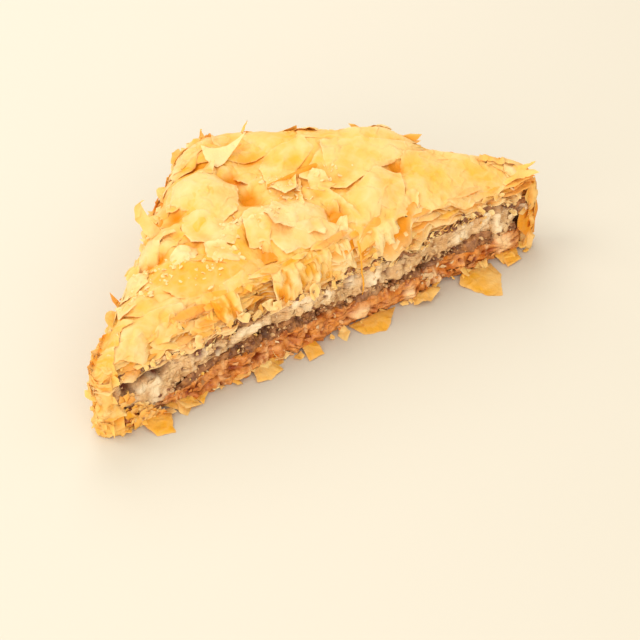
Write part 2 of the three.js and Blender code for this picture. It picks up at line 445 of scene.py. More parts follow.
def look(name, colour, roughness, height, depth, glow=None, glow_share=0.0, coat=0.0, shine=0.4):
    """A material: colour, roughness and height are functions of its shades. depth is the bump's
    depth in millimetres, and glow the colour of the light that comes through thin leaves."""
    material = bpy.data.materials.new(name)
    material.use_nodes = True
    tree = material.node_tree
    tree.nodes.clear()
    start = Shade(tree)
    paint = colour(start)
    normal = start.node("Bump", {}, {"Strength": 1.0, "Distance": depth * MM, "Height": height(start)})
    surface = start.node("BsdfPrincipled", {}, {
        "Base Color": paint, "Roughness": roughness(start), "Normal": normal, "Coat Weight": coat,
        "Coat Roughness": 0.2, "Specular IOR Level": shine})
    if glow:
        through = start.node("BsdfTranslucent", {}, {"Color": start.blend(0.5, paint, glow),
                                                     "Normal": normal})
        surface = start.node("MixShader", {}, {0: glow_share, 1: surface, 2: through})
    start.node("OutputMaterial", {}, {"Surface": surface})
    return material


CARAMEL, HONEY = tint(164, 70, 6), tint(226, 140, 48)
AMBER, SYRUPY = tint(196, 104, 26), tint(244, 186, 112)
BURNT_SPECK, SYRUP_SMEAR, SYRUP_CRACK_SHADE = tint(144, 60, 6), tint(248, 208, 150), tint(130, 42, 0)
BAKED_ORANGE, BAKED_GOLD, BAKED_CRACK_SHADE = tint(234, 148, 28), tint(250, 200, 80), tint(200, 92, 2)


def syrup_colour(s):
    torn = s.layered(CARAMEL, (s.patches(1.6, 6), HONEY), (s.patches(5, 4) * 0.6, AMBER),
                     (s.patches(3.4, 2) * 0.4, SYRUPY),
                     ((s.grain(1.1, 4) * 7 - 4.0).held() * 0.6, BURNT_SPECK),
                     (s.mark("smear") * 0.8, SYRUP_SMEAR), (s.mark("crack") * 0.9, SYRUP_CRACK_SHADE))
    toasted = s.layered(BAKED_ORANGE, (s.patches(4, 4), BAKED_GOLD),
                        (s.mark("crack") * 0.8, BAKED_CRACK_SHADE))
    return s.blend(s.mark("cut"), toasted, torn)


syrup_look = look("syrup_pastry_look", syrup_colour, lambda s: 0.25 + 0.3 * s.grain(3),
                  lambda s: s.grain(1.0, 6), 0.55, coat=0.25, shine=0.15)

_, bottom_high = levels_of("bottom_pastry")
lower_low, lower_high = levels_of("lower_walnut")
TIP_DIP_AT, TIP_DIP_WIDTH = -51.0, 8.0
FLOOR_DIP, TOP_DIP = 3.0, 5.0


def tip_dip(way):
    """Near the left tip the pale leaves sag almost to the plate: how much, 0 to 1."""
    x, _, _, out_y = rim.at(way)
    return np.exp(-((x - TIP_DIP_AT) / TIP_DIP_WIDTH) ** 2) * facing_cut(out_y)


flat_nut_floor = between(bottom_high, lower_low, 0.9, 60)


def nut_floor(way):
    """Where the bottom pastry ends and the lower walnuts begin."""
    return flat_nut_floor(way) - FLOOR_DIP * tip_dip(way)


bottom = bmesh.new()
block(bottom, columns=640, rows=60, low=lambda way: 0 * way, high=lambda way: nut_floor(way) + LAP,
      relief=soaked_wall)
finish(bottom, "soaked_leaves", syrup_look, ["bottom_pastry"], crease=60)

# ---------------------------------------------------------------------------------------------
# Lower walnut. A thick bed of coarsely chopped walnut, wet with syrup: cream and grey-brown
# flesh with dark skin, pressed between the leaves, standing back a little from the cut.
# ---------------------------------------------------------------------------------------------


def nut_wall(back, side_back, rough, seed):
    """A rubbly wall that stands back from the leaves above and below it."""
    def relief(x, y, z, share, cut):
        lumps = rough * (hills(x, y, z, 2.4, seed) + 0.7 * hills(x, y, z, 1.1, seed + 1))
        lumps = lumps - hollowed(x, y, z, seed + 2)
        stand = lumps + cut * (torn_unevenly(x, y, z) - back) - side_back * (1 - cut)
        # The crack mark is painted shade where the wall sinks between lumps and into pits.
        return stand, {"crack": held(-1.2 * lumps / rough), "skin": 0.0, "flesh": wiped(x, z) * cut}
    return relief


WET_NUT, NUT, NUT_SKIN = tint(106, 56, 22), tint(182, 122, 68), tint(108, 58, 26)
NUT_FLESH, NUT_SPECK, NUT_HOLLOW_SHADE = tint(226, 182, 124), tint(110, 64, 30), tint(82, 44, 18)


def nut_colour(s):
    return s.layered(WET_NUT, (s.patches(1.5, 5), NUT), (s.mark("skin") * 0.9, NUT_SKIN),
                     (s.mark("flesh") * 0.8, NUT_FLESH),
                     ((s.grain(0.9, 4) * 5 - 2.7).held() * 0.7, NUT_SPECK),
                     (s.mark("crack") * 0.7, NUT_HOLLOW_SHADE))


walnut_look = look("walnut_look", nut_colour, lambda s: 0.35 + 0.3 * s.grain(2),
                   lambda s: s.grain(0.6, 6), 0.35, coat=0.1)
cut_ways = np.flatnonzero(facing_cut(rim.out[:, 1]) > 0.6) / len(rim.out) * rim.length
cut_start, cut_end = float(cut_ways[0]), float(cut_ways[-1])
LUMPS_IN_POCKET = 4


def way_at(x):
    """The way round at which the cut is at that x."""
    return np.interp(x, rim.at(cut_ways)[0], cut_ways)


def random_size(chance, usual, spread, least, most):
    """A random size, mostly near the usual one, now and then much larger."""
    return float(np.clip(chance.lognormal(math.log(usual), spread), least, most))


def nut_bit(piece, chance, way, z, size, back, skinned):
    """Adds one angular bit of walnut at a way round and a height, with flesh showing or skin on."""
    skin = piece.verts.layers.float.get("skin")
    flesh = piece.verts.layers.float.get("flesh")
    x, y, out_x, out_y = rim.spot(way)
    back = back + 0.2 * size - float(torn_unevenly(x, y, z))
    turn = Quaternion(chance.normal(size=4)).normalized().to_matrix().to_4x4()
    stretch = Matrix.Diagonal((*chance.uniform(0.35, 1.0, 3), 1))
    spot = Matrix.Translation(Vector((x - out_x * back, y - out_y * back, z)) * MM)
    made = bmesh.ops.create_icosphere(piece, subdivisions=2, radius=size / 2 * MM,
                                      matrix=spot @ turn @ stretch)
    pale = not skinned and chance.uniform() > 0.6
    for vert in made["verts"]:
        place = vert.co / MM
        dent = float(hills(*place, size * 0.45, 41))
        vert.co = spot.translation + (vert.co - spot.translation) * (1 + 0.8 * dent)
        vert[skin] = 1.0 if skinned or hills(*place, size * 0.6, 45) > 0.5 else 0.0
        vert[flesh] = 1.0 if pale and vert[skin] == 0 else 0.0


def nut_bits(piece, chance, count, low, high, sizes, set_back):
    """Scatters bits of walnut along the cut between two levels, and dark lumps in the pockets."""
    for _ in range(count):
        way = chance.uniform(cut_start, cut_end)
        size = random_size(chance, *sizes)
        bottom_z, top_z = float(low(way)), float(high(way))
        z = chance.uniform(bottom_z - 0.1 * size, max(top_z + 0.1 * size, bottom_z + 0.4 * size))
        nut_bit(piece, chance, way, z, size, chance.uniform(*set_back), chance.uniform() < 0.1)
    for x, z, reach in POCKETS:
        way = float(way_at(x))
        if low(way) - 1 < z < high(way) + 1 and z > 6:
            for _ in range(LUMPS_IN_POCKET):
                nut_bit(piece, chance, way + chance.normal(0, 0.6 * reach),
                        z + chance.normal(0, 0.4 * reach), chance.uniform(0.8, 1.3) * reach, 0.7, True)


middle_low, middle_high = levels_of("middle_pastry")
flat_nut_top = between(lower_high, middle_low, 1.5, 62)


def nut_top(way):
    """Where the lower walnuts end and the pale leaves begin."""
    return flat_nut_top(way) - TOP_DIP * tip_dip(way)


nuts = bmesh.new()
block(nuts, columns=480, rows=30, low=lambda way: nut_floor(way) - LAP,
      high=lambda way: nut_top(way) + LAP, relief=nut_wall(0.3, 3.2, 0.9, 30))
nut_bits(nuts, np.random.default_rng(3), 520, nut_floor, nut_top, sizes=(1.0, 0.4, 0.5, 2.6),
         set_back=(-0.1, 0.8))
finish(nuts, "lower_walnut_bed", walnut_look, ["lower_walnut"], crease=35)

# ---------------------------------------------------------------------------------------------
# Middle pastry. Moist pale leaves between the two beds of nut, so thin and soft that the knife
# has smeared them upright and left whitish streaks and small torn lumps.
# ---------------------------------------------------------------------------------------------


def moist_wall(x, y, z, share, cut):
    """Soft torn lumps and upright smears on the cut, and level baked leaves on the sides."""
    fine, crack = pressed_leaves(x, y, z, 0.6, 1.2, 7, 0.25, 0.35, 50)
    baked, baked_crack = pressed_leaves(x, y, z, 1.0, 0.6, 9, 1.0, 1.2, 54)
    pits = hollowed(x, y, z, 57)
    lumps = 0.9 * hills(x, y, z, 3.2, 58) + 0.7 * hills(x, y, z, 1.2, 59) - 0.9 * pits
    smear = np.maximum(smears(x, z, 0.0, 56), wiped(x, z)) * cut
    streak = 0.3 * hills(x, 0, 0.1 * z, 1.0, 61) + 0.5 * wiped(x, z)
    torn = fine * (1 - 0.8 * smear) + streak + lumps + torn_unevenly(x, y, z)
    torn = torn - 0.6 * np.abs(2 * share - 1) ** 4
    # The crack mark is painted shade in the cracks, pits, caves and pockets.
    return cut * torn + (1 - cut) * (baked - 0.5), {
        "crack": cut * held(0.6 * crack * (1 - smear) + pits) + (1 - cut) * baked_crack,
        "smear": smear}


DAMP_LEAF, PALE_LEAF = tint(186, 130, 72), tint(236, 196, 134)
NUT_STAIN, CREAM = tint(196, 140, 80), tint(246, 216, 164)
NUT_DUST, WHITE_SMEAR, LEAF_CRACK_SHADE = tint(150, 90, 40), tint(244, 222, 182), tint(104, 34, 2)
SIDE_ORANGE, SIDE_GOLD, SIDE_CRACK_SHADE = tint(236, 148, 34), tint(252, 200, 84), tint(196, 90, 6)


def moist_colour(s):
    torn = s.layered(DAMP_LEAF, (s.patches(1.2, 5, (1, 1, 0.4)), PALE_LEAF),
                     (s.patches(5, 4) * 0.7, NUT_STAIN), (s.patches(3.2, 2) * 0.4, CREAM),
                     ((s.grain(0.9, 4) * 7 - 4.1).held() * 0.7, NUT_DUST),
                     (s.mark("smear") * 0.7, WHITE_SMEAR), (s.mark("crack") * 0.95, LEAF_CRACK_SHADE))
    toasted = s.layered(SIDE_ORANGE, (s.patches(4, 4), SIDE_GOLD), (s.mark("crack") * 0.8, SIDE_CRACK_SHADE))
    return s.blend(s.mark("cut"), toasted, torn)


moist_look = look("moist_pastry_look", moist_colour, lambda s: 0.3 + 0.3 * s.grain(3),
                  lambda s: s.grain(0.9, 6), 0.55, coat=0.15, shine=0.25)

upper_low, upper_high = levels_of("upper_walnut")
upper_floor = between(middle_high, upper_low, 1.4, 64)
middle = bmesh.new()
block(middle, columns=640, rows=52, low=lambda way: nut_top(way) - LAP,
      high=lambda way: upper_floor(way) + LAP, relief=moist_wall)
finish(middle, "moist_leaves", moist_look, ["middle_pastry"], crease=60)

# ---------------------------------------------------------------------------------------------
# Upper walnut. A thinner, broken scatter of the same chopped nut under the crust. Midway along
# the cut it dwindles to a line.
# ---------------------------------------------------------------------------------------------
THIN_FROM, THIN_TO = -14.0, 20.0


def upper_top(way):
    """Where the upper walnuts end and the crust begins."""
    x, y, _, out_y = rim.at(way)
    inside_gap = held(1 - np.abs(x - (THIN_FROM + THIN_TO) / 2) / ((THIN_TO - THIN_FROM) / 2))
    share = np.clip(0.75 + 1.3 * hills(x, y, 0, 7, 66), 0.12, 1.3)
    share = share * (1 - 0.8 * held(3 * inside_gap) * facing_cut(out_y))
    return upper_floor(way) + share * (upper_high(way) - upper_low(way))


nuts = bmesh.new()
block(nuts, columns=480, rows=24, low=lambda way: upper_floor(way) - LAP,
      high=lambda way: upper_top(way) + LAP, relief=nut_wall(0.3, 3.2, 0.8, 70))
nut_bits(nuts, np.random.default_rng(5), 260, upper_floor, upper_top, sizes=(0.9, 0.4, 0.5, 2.2),
         set_back=(-0.1, 0.8))
finish(nuts, "upper_walnut_bed", walnut_look, ["upper_walnut"], crease=35)

# ---------------------------------------------------------------------------------------------
# Crust heart. Under the loose flakes the baked leaves are stuck together in one mass that shows
# wherever flakes have parted or broken away, painted deep orange as the shade in those gaps.
# ---------------------------------------------------------------------------------------------
SINK = 1.4
OVERHANG_FALL = 0.8
CUT_FALL = 3.0
CUT_FALL_WIDTH = 7.0
HEART_BACK_FROM_CUT = 7.5
HEART_BACK_FROM_SIDES = 4.0


def levelled(field, passes):
    """Heights on a grid of cells, each evened out with its four neighbours."""
    field = field.copy()
    for _ in range(passes):
        field[1:-1, 1:-1] = (field[:-2, 1:-1] + field[2:, 1:-1]
                             + field[1:-1, :-2] + field[1:-1, 2:]) / 4
    return field


class Ground:
    """The height of what has been laid so far, kept on a grid of cells over the plan."""

    def __init__(self, solid, left=-76.0, front=-44.0, right=76.0, back=46.0, cell=0.5):
        self.left, self.front, self.cell = left, front, cell
        across, deep = np.arange(left, right, cell), np.arange(front, back, cell)
        self.x, self.y = np.meshgrid(across, deep, indexing="ij")
        self.z = np.full(self.x.shape, np.nan)
        coarse = 2
        for i in range(0, len(across), coarse):
            for j in range(0, len(deep), coarse):
                found = height_at(solid, across[i], deep[j])
                self.z[i:i + coarse, j:j + coarse] = np.nan if found is None else found
        self.inside = rim.depth(self.x, self.y)
        self.z[self.inside < 1.0] = np.nan
        while np.isnan(self.z).any():
            around = np.array([np.roll(self.z, step, axis) for axis in (0, 1) for step in (1, -1)])
            known = ~np.isnan(around)
            near = np.where(known, around, 0).sum(axis=0) / np.maximum(known.sum(axis=0), 1)
            fill = np.isnan(self.z) & known.any(axis=0)
            self.z[fill] = near[fill] - OVERHANG_FALL * cell
        self.z = levelled(self.z, 4)

    def at(self, x, y, field=None):
        """The height at a place, read between the cells of the grid or of another field."""
        field = self.z if field is None else field
        i = np.clip((np.asarray(x) - self.left) / self.cell, 0, field.shape[0] - 1.001)
        j = np.clip((np.asarray(y) - self.front) / self.cell, 0, field.shape[1] - 1.001)
        low_i, low_j = i.astype(int), j.astype(int)
        a, b = i - low_i, j - low_j
        return ((1 - a) * (1 - b) * field[low_i, low_j] + a * (1 - b) * field[low_i + 1, low_j]
                + (1 - a) * b * field[low_i, low_j + 1] + a * b * field[low_i + 1, low_j + 1])

    def rest(self, x, y, reach):
        """The height averaged over a round of that reach, as a stiff flake feels it."""
        total, count = self.at(x, y), 1
        for share in (0.5, 1.0):
            for turn in np.arange(8) * math.pi / 4 + share:
                total = total + self.at(x + reach * share * math.cos(turn),
                                        y + reach * share * math.sin(turn))
                count += 1
        return total / count


ground = Ground(solid_of("top_pastry"))
behind_cut = held(1 - (ground.y - CUT_Y) / CUT_FALL_WIDTH)
fall = CUT_FALL * behind_cut ** 1.5 * (1 + 0.5 * hills(ground.x, 0, 0, 9, 80))
fall = fall * np.interp(ground.x, (24, 40), (1, 0.35))
ground.z -= SINK + np.where(ground.inside > -1, fall, CUT_FALL)
ground.base = ground.z.copy()
ground.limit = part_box("top_pastry")[1].z / MM


GOLD, STRAW, TOASTED = tint(252, 194, 58), tint(254, 217, 132), tint(249, 177, 34)
BUTTERY, PAINTED_AMBER_SHADE, SUNLIT = tint(254, 232, 174), tint(240, 150, 0), tint(255, 222, 96)


# The pale mark is partly the leaves' own paler tone and partly a painted highlight; the deep mark is
# painted amber shade in hollows, gaps and undersides.
def crust_colour(s):
    return s.layered(GOLD, (s.patches(9, 3), STRAW),
                     ((s.mark("toast") + 0.6 * s.grain(5, 4) - 0.4).held() * 0.8, TOASTED),
                     ((s.mark("pale") + s.crease(6) * 0.2).held() * 0.8, BUTTERY),
                     (s.mark("deep") * 0.95, PAINTED_AMBER_SHADE))


crust_look = look("baked_crust_look", crust_colour, lambda s: 0.38 + 0.25 * s.grain(4),
                  lambda s: s.grain(2.2, 5) + 0.6 * s.crease(7), 0.3, SUNLIT, 0.33, shine=0.16)


def heart_back(cut):
    """How far the heart stays inside the outline, at the cut, 1, or at a side, 0."""
    return HEART_BACK_FROM_CUT * cut + HEART_BACK_FROM_SIDES * (1 - cut)


def heart_wall(x, y, z, share, cut):
    """The heart's wall, with the edges of leaves baked together."""
    leaves, crack = pressed_leaves(x, y, z, 1.1, 0.8, 9, 1.0, 1.0, 84)
    return leaves - heart_back(cut), {"deep": 0.6 + 0.4 * crack, "toast": 0.5, "pale": 0.0}


def heart_top(u, v):
    """The heart's wrinkled top, from its middle at v of 0 out to its wall."""
    x, y, out_x, out_y = rim.at(way_round(u))
    back = heart_back(facing_cut(out_y))
    x, y = HEART[0] + (x - out_x * back - HEART[0]) * v, HEART[1] + (y - out_y * back - HEART[1]) * v
    wrinkles = 0.6 * hills(x, y, 0, 6, 85) + 0.4 * hills(x, y, 0, 2.5, 86)
    return (x, y, ground.at(x, y) - 0.8 + wrinkles), {"deep": 0.8, "toast": 0.5, "pale": 0.0}


def heart_rise(way):
    """How high the heart's wall reaches."""
    x, y, out_x, out_y = rim.at(way)
    back = heart_back(facing_cut(out_y))
    return ground.at(x - out_x * back, y - out_y * back) - 0.6


heart = bmesh.new()
block(heart, columns=300, rows=26, low=lambda way: upper_floor(way) - LAP, high=heart_rise,
      relief=heart_wall)
lay_grid(heart, 240, 60, heart_top)
finish(heart, "crust_heart", crust_look, ["top_pastry"], crease=60)

# ---------------------------------------------------------------------------------------------
# Crust leaves. The thin sheets above the upper nuts, whose edges show at the cut and the sides:
# pale and crumbly at the foot, golden and puffed apart above. They end further back from the cut
# the higher they lie, they hang in folds like cloth, and flaps of some are dragged down.
# ---------------------------------------------------------------------------------------------
LEAVES = 14
LEAF_THICK = 0.22
LEAF_REACH = 0.36
STEP_BACK = 6.0


def stepped(x):
    """How much the crust's leaves step back from the cut: 1, and less towards the higher tip."""
    return np.interp(x, (24, 38, 54, 64), (1, 0.5, 0.4, 0.15))


def share_of_leaf(number, x, y):
    """How high a leaf lies between the upper nuts, 0, and the top of the crust, 1."""
    gaps = [np.exp(1.2 * hills(x, y, 31 * k, 11, 90)) for k in range(LEAVES + 1)]
    return sum(gaps[:number + 1]) / sum(gaps)


def crust_leaf(number):
    """A leaf as a thin closed ring: out along its top, round its edge and back along its underside."""
    height = (number + 0.5) / LEAVES

    def place(u, v):
        way = way_round(u)
        edge_x, edge_y, out_x, out_y = rim.at(way)
        cut = facing_cut(out_y)
        side, v = np.sign(0.5 - v), np.abs(2 * v - 1)

        # How far the leaf's edge lies back from the outline: steps shared by all leaves, the
        # leaf's own wander and tears, upright folds, and flaps that the knife dragged forward.
        shared = hills(edge_x, edge_y, 0, 12, 93)
        own = 1.5 * hills(edge_x, edge_y, 7 * number, 14, 91)
        ragged = 0.7 * hills(edge_x, edge_y, 9 * number, 4.5, 92)
        ragged = ragged + 0.4 * hills(edge_x, edge_y, 9 * number, 1.4, 99)
        calm = stepped(edge_x)
        folds = 1.5 * hills(edge_x, 0, 4 * height, 3.0, 94) * np.clip(1.3 - height, 0.4, 1) * calm
        flap = held(3 * hills(edge_x, 0, 17 * number, 6, 95) - 1.0) * cut * calm
        back = STEP_BACK * height ** 1.3 * (0.8 + 0.6 * shared) * calm
        back = back + 0.5 * calm + own * height * calm + ragged * (0.4 + 0.6 * calm) + folds
        side_back = 0.8 + 2.2 * hills(edge_x, edge_y, 11 * number, 7, 96) + 1.3 * ragged
        stand = -((back - 1.4 * flap) * cut + side_back * (1 - cut))
        stand = np.minimum(stand, 0.3 * cut + 1.4 * (1 - cut))
        x, y = edge_x + out_x * stand, edge_y + out_y * stand

        # From its edge the leaf runs inward between its neighbours, and the edge itself sags.
        inward = LEAF_REACH * v ** 1.4
        x, y = x + (HEART[0] - x) * inward, y + (HEART[1] - y) * inward
        low, high = upper_top(way), ground.at(x, y, ground.base) + 0.3
        z = low + share_of_leaf(number, x, y) * (high - low)
        sag = held(1 - v / 0.25) ** 2
        bend = 0.15 + calm * hills(edge_x, edge_y, 13 * number, 3.2, 97) + 2.6 * flap * cut
        z = z - sag * bend * (0.3 + 0.9 * height)
        z = z + 0.3 * hills(x, y, 3 * number, 1.9, 101) * held(6 * v) * held(3 - 6 * v)
        z = z + side * LEAF_THICK / 2 * held(8 * v) * (v < 0.99)

        # Pale at the foot; a painted highlight on ridges, flaps and rims; painted amber shade in the
        # hollows and further in.
        foot = held(0.9 - 2.4 * height + 0.3 * hills(edge_x, edge_y, number * 5, 8, 98))
        recess = (folds + ragged) / 1.4 * cut + 0.3 * hills(edge_x, edge_y, 19 * number, 5, 100)
        pale = 0.7 * foot * cut + held(-recess) * 0.5 + 0.3 * flap + 0.8 * (v < 0.02) + 0.1
        pale = pale + 0.3 * (1 - calm) * cut * (v < 0.1)
        deep = held(1.3 * recess + 0.3) * (0.2 + 0.6 * height) + np.clip(v * 4 - 0.2, 0, 0.7)
        return (x, y, z), {"toast": 0.2 + 0.2 * height, "pale": held(pale), "deep": held(deep)}
    return place


for group, numbers in (("lower", range(0, LEAVES // 2)), ("upper", range(LEAVES // 2, LEAVES))):
    leaves = bmesh.new()
    for number in numbers:
        lay_grid(leaves, 560, 18, crust_leaf(number))
    finish(leaves, f"{group}_crust_leaves", crust_look, crease=50)

# ---------------------------------------------------------------------------------------------
# Crust sheets. The top leaves dried in the oven and cracked into thin sheets, which lie over each
# other softly waved, their rims drooping onto what lies below or lifting clear of it.
# ---------------------------------------------------------------------------------------------
FLAKE_THICK = 0.2
SETTLE = 60
EDGE_STEPS = 5


def lay_both_sides(piece, columns, rows, side_of):
    """Adds the upper and the lower side of a leaf; side_of(thick) places the one that lies thick
    above the other."""
    for thick in (FLAKE_THICK, 0.0):
        lay_grid(piece, columns, rows, side_of(thick))


def reach_of(outline, turn):
    """How far an outline lies from its middle in each direction."""
    angles = np.arctan2(outline[:, 1], outline[:, 0])
    outline, angles = outline[np.argsort(angles)], np.sort(angles)
    first = (np.searchsorted(angles, turn) - 1) % len(outline)
    a, b = outline[first], outline[(first + 1) % len(outline)]
    side_x, side_y = b[..., 0] - a[..., 0], b[..., 1] - a[..., 1]
    crossing = np.cos(turn) * side_y - np.sin(turn) * side_x
    return (a[..., 0] * b[..., 1] - a[..., 1] * b[..., 0]) / crossing


def disc(u, v):
    """A square grid drawn into a round: the direction of each point and its share of the way out."""
    across, along = 2 * u - 1, 2 * v - 1
    return np.arctan2(along, across), np.maximum(np.abs(across), np.abs(along))


def torn_reach(outline, turn, size, fringe, seed):
    """The reach of an outline whose rim is torn: a little wavy, and frayed by up to fringe."""
    reach = reach_of(outline, turn)
    x, y = reach * np.cos(turn), reach * np.sin(turn)
    reach = reach + 0.05 * size * hills(x, y, 0, 0.5 * size, seed)
    return reach + fringe * (hills(x, y, 5, 2.0, seed) + 0.5 * hills(x, y, 9, 0.8, seed))


def kept_on(x, y, step_back, overhang):
    """Places that reach past the side or the cut, drawn back as the edge broke off there."""
    ragged = 1 + 0.9 * hills(x, 0, 0, 9, 110) + 0.3 * hills(x, 0, 0, 2, 112)
    y = np.maximum(y, CUT_Y + step_back * stepped(x) * ragged)
    allowed = overhang * (0.5 + 0.9 * hills(x, y, 0, 5, 111))
    for _ in range(EDGE_STEPS):
        out = 1.1 * np.maximum(-rim.depth(x, y) - allowed, 0) / np.hypot(x - HEART[0], y - HEART[1])
        x, y = x - (x - HEART[0]) * out, y - (y - HEART[1]) * out
    return x, y


def lay_flake(piece, chance, outline, stiff, cells, curl, toast, pale=0.0, wrinkle=0.3, fringe=0.4,
              step_back=3.0, overhang=1.0, limp=0.95, crinkle=0.25):
    """Lays one flake on the ground so far and raises the ground under it. Its outline is in plan,
    curl is how far part of its rim lifts, and limp how much the rest of the rim gives way."""
    outline = np.array(outline, dtype=float)
    middle = outline.mean(axis=0)
    outline = outline - middle
    size = float(np.hypot(*outline.T).mean())
    seed = int(chance.integers(1000, 9000))
    curl_way = chance.uniform(0, 2 * math.pi)

    def spot(turn, share):
        reach = torn_reach(outline, turn, size, fringe, seed)
        x, y = kept_on(middle[0] + reach * np.cos(turn), middle[1] + reach * np.sin(turn),
                       step_back, overhang)
        return middle[0] + (x - middle[0]) * share, middle[1] + (y - middle[1]) * share

    def stiff_rise(x, y):
        wave = hills(x, y, 0, 0.45 * size, seed + 1) + crinkle * hills(x, y, 0, 1.8, seed + 2)
        return ground.rest(x, y, stiff) + wrinkle * wave

    def rise(x, y, share):
        lifted = held(2 * np.cos(np.arctan2(y - middle[1], x - middle[0]) - curl_way) - 0.9)
        giving = limp * share ** 8
        shape = (stiff_rise(x, y) + lie) * (1 - giving) + ground.rest(x, y, 0.9) * giving
        return np.minimum(shape + curl * lifted * share ** 3, ground.limit - 0.3)

    lie = 0.0
    x, y = spot(np.linspace(-math.pi, math.pi, 40), 0.6)
    lie = np.percentile(ground.at(x, y) - stiff_rise(x, y), SETTLE)

    def side_of(thick):
        def place(u, v):
            turn, share = disc(u, v)
            x, y = spot(turn, share)
            z = rise(x, y, share) + thick * (1 - share ** 6)
            # The rim gets a painted highlight, and the underside painted amber shade.
            edge = 0.4 * held(share * 12 - 11)
            return (x, y, z), {"toast": toast, "pale": held(pale + edge),
                               "deep": 0.0 if thick else 0.35}
        return place

    lay_both_sides(piece, cells, cells, side_of)
    near = np.hypot(ground.x - middle[0], ground.y - middle[1]) < 2.2 * size + 2
    x, y = ground.x[near], ground.y[near]
    edge = np.array(spot(np.linspace(-math.pi, math.pi, 240), 1.0)) - middle[:, None]
    turn, reach = np.arctan2(edge[1], edge[0]), np.maximum(np.hypot(*edge), 0.1)
    reach = np.interp(np.arctan2(y - middle[1], x - middle[0]), turn[np.argsort(turn)],
                      reach[np.argsort(turn)], period=2 * math.pi)
    share = np.hypot(x - middle[0], y - middle[1]) / reach
    height = np.where(share < 1, rise(x, y, np.minimum(share, 1)) + FLAKE_THICK, -99)
    ground.z[near] = np.maximum(ground.z[near], height)


def shard(chance, x, y, size, long=1.2, turn=None):
    """A random broken outline of four to seven corners, longer than it is wide."""
    corners = int(chance.integers(4, 8))
    turns = (np.arange(corners) + chance.uniform(-0.3, 0.3, corners)) / corners * 2 * math.pi
    reach = size / 2 * chance.uniform(0.65, 1.35, corners)
    points = np.stack((reach * np.cos(turns) * long, reach * np.sin(turns) / long), axis=1)
    turn = chance.uniform(0, 2 * math.pi) if turn is None else turn
    spin = np.array(((math.cos(turn), -math.sin(turn)), (math.sin(turn), math.cos(turn))))
    return points @ spin.T + (x, y)


def somewhere(chance, low_depth, high_depth):
    """A random place in plan, between two depths inside the outline."""
    while True:
        x, y = chance.uniform(-68, 68), chance.uniform(CUT_Y, 38)
        if low_depth < float(rim.depth(x, y)) < high_depth:
            return x, y


SHEETS = (
    (((-2, 33), (8, 30), (20, 18), (14, 10), (2, 16), (-8, 24)), 0.3, 0.0),
    (((8, 26), (24, 18), (38, 6), (52, -6), (64, -18), (50, -14), (34, -8), (20, -6), (10, 6)),
     0.3, 0.0),
    (((23, 17), (35, 5), (40, 2), (46, -4), (37, -6), (26, 5), (18, 12)), 0.3, 0.0),
    (((25, 7), (36, -2), (48, -7), (37, -8), (28, -9), (18, -10), (10, 0)), 0.1, 0.1),
    (((-5, 34), (2, 33), (0, 27), (-4, 25), (-10, 20), (-15, 20), (-14, 25)), 0.4, 0.0),
    (((6, 36), (11, 28), (10, 24), (7, 22), (2, 22), (-1, 27), (0, 33)), 0.5, 0.0),
    (((-21, 15), (-17, 21), (-14, 20), (-15, 16), (-20, 10), (-23, 12)), 0.5, 0.0),
    (((-17, 18), (-11, 17), (-7, 13), (-4, 7), (-10, -2), (-15, -3), (-18, 2), (-20, 8), (-21, 13)),
     0.1, 0.2),
    (((-28, 6), (-24, 5), (-25, 0), (-29, -2), (-31, 3), (-34, 5), (-33, 8)), 0.5, 0.0),
    (((-22, 6), (-17, 2), (-15, -4), (-11, -5), (-14, -10), (-18, -11), (-23, -7), (-26, -4),
      (-25, 2)), 0.1, 0.3),
    (((4, 9), (8, 13), (13, 13), (20, 12), (19, 6), (12, 3), (7, -3), (3, -4), (1, 1)), 0.1, 0.0),
    (((-11, -5), (-6, -4), (-1, -4), (6, -6), (10, -11), (7.5, -16), (12, -21), (6, -25), (-6, -25),
      (-8, -20), (-9, -15), (-13, -13)), 0.0, 0.4),
    (((-11, -5), (-7, -3), (-3, -6), (-5, -10), (-10, -16), (-15, -14)), 0.2, 0.2),
    (((17, -11), (28, -8), (34, -12), (31, -18), (29, -23), (22, -25), (13, -21)), 0.3, 0.1),
    (((38, -7), (48, -8), (57, -15), (62, -21), (56, -28), (44, -28), (35, -25), (31, -19), (33, -12)),
     0.3, 0.0),
    (((57, -15), (64, -20), (68, -25), (62, -26), (58, -22)), 0.3, 0.0),
    (((-61, -17), (-57, -20), (-51, -22), (-47, -25), (-52, -27), (-58, -27), (-64, -26),
      (-66, -23)), 0.5, 0.0),
    (((-57, -14), (-49, -16), (-43, -17), (-38, -18), (-37, -24), (-42, -24), (-49, -23), (-56, -21),
      (-61, -19)), 0.4, 0.05),
    (((-53, -12), (-47, -9), (-41, -10), (-36, -13), (-38, -18), (-43, -17), (-49, -16)), 0.5, 0.0),
    (((-41, -8), (-31, -5), (-23, -12), (-15, -19), (-16, -24), (-27, -22), (-39, -17)), 1.0, 0.0),
    (((-39, 4), (-35, 3), (-37, 0), (-41, -8), (-46, -8), (-50, -6), (-46, 0)), 0.3, 0.1),
)
UNDER_SHEETS = 36
chance = np.random.default_rng(11)
under = bmesh.new()
for _ in range(UNDER_SHEETS):
    x, y = somewhere(chance, 2.0, 99)
    size = chance.uniform(26, 42)
    lay_flake(under, chance, shard(chance, x, y, size), stiff=0.15 * size, cells=36,
              curl=chance.uniform(-0.5, 1.5), toast=chance.uniform(0.1, 0.6), wrinkle=0.6, fringe=0.6,
              crinkle=0.7)


def puffed(x, y, puffs):
    """How far blisters or hollows put the crust up or down at a place."""
    return sum(rise * np.exp(-((x - a) ** 2 + (y - b) ** 2) / reach ** 2)
               for a, b, reach, rise in puffs)


def puff_up(piece, puffs):
    """Moves all that lies over a blister or a hollow along with it."""
    spots = np.array([vert.co[:2] for vert in piece.verts]) / MM
    for vert, rise in zip(piece.verts, puffed(*spots.T, puffs)):
        vert.co.z += rise * MM


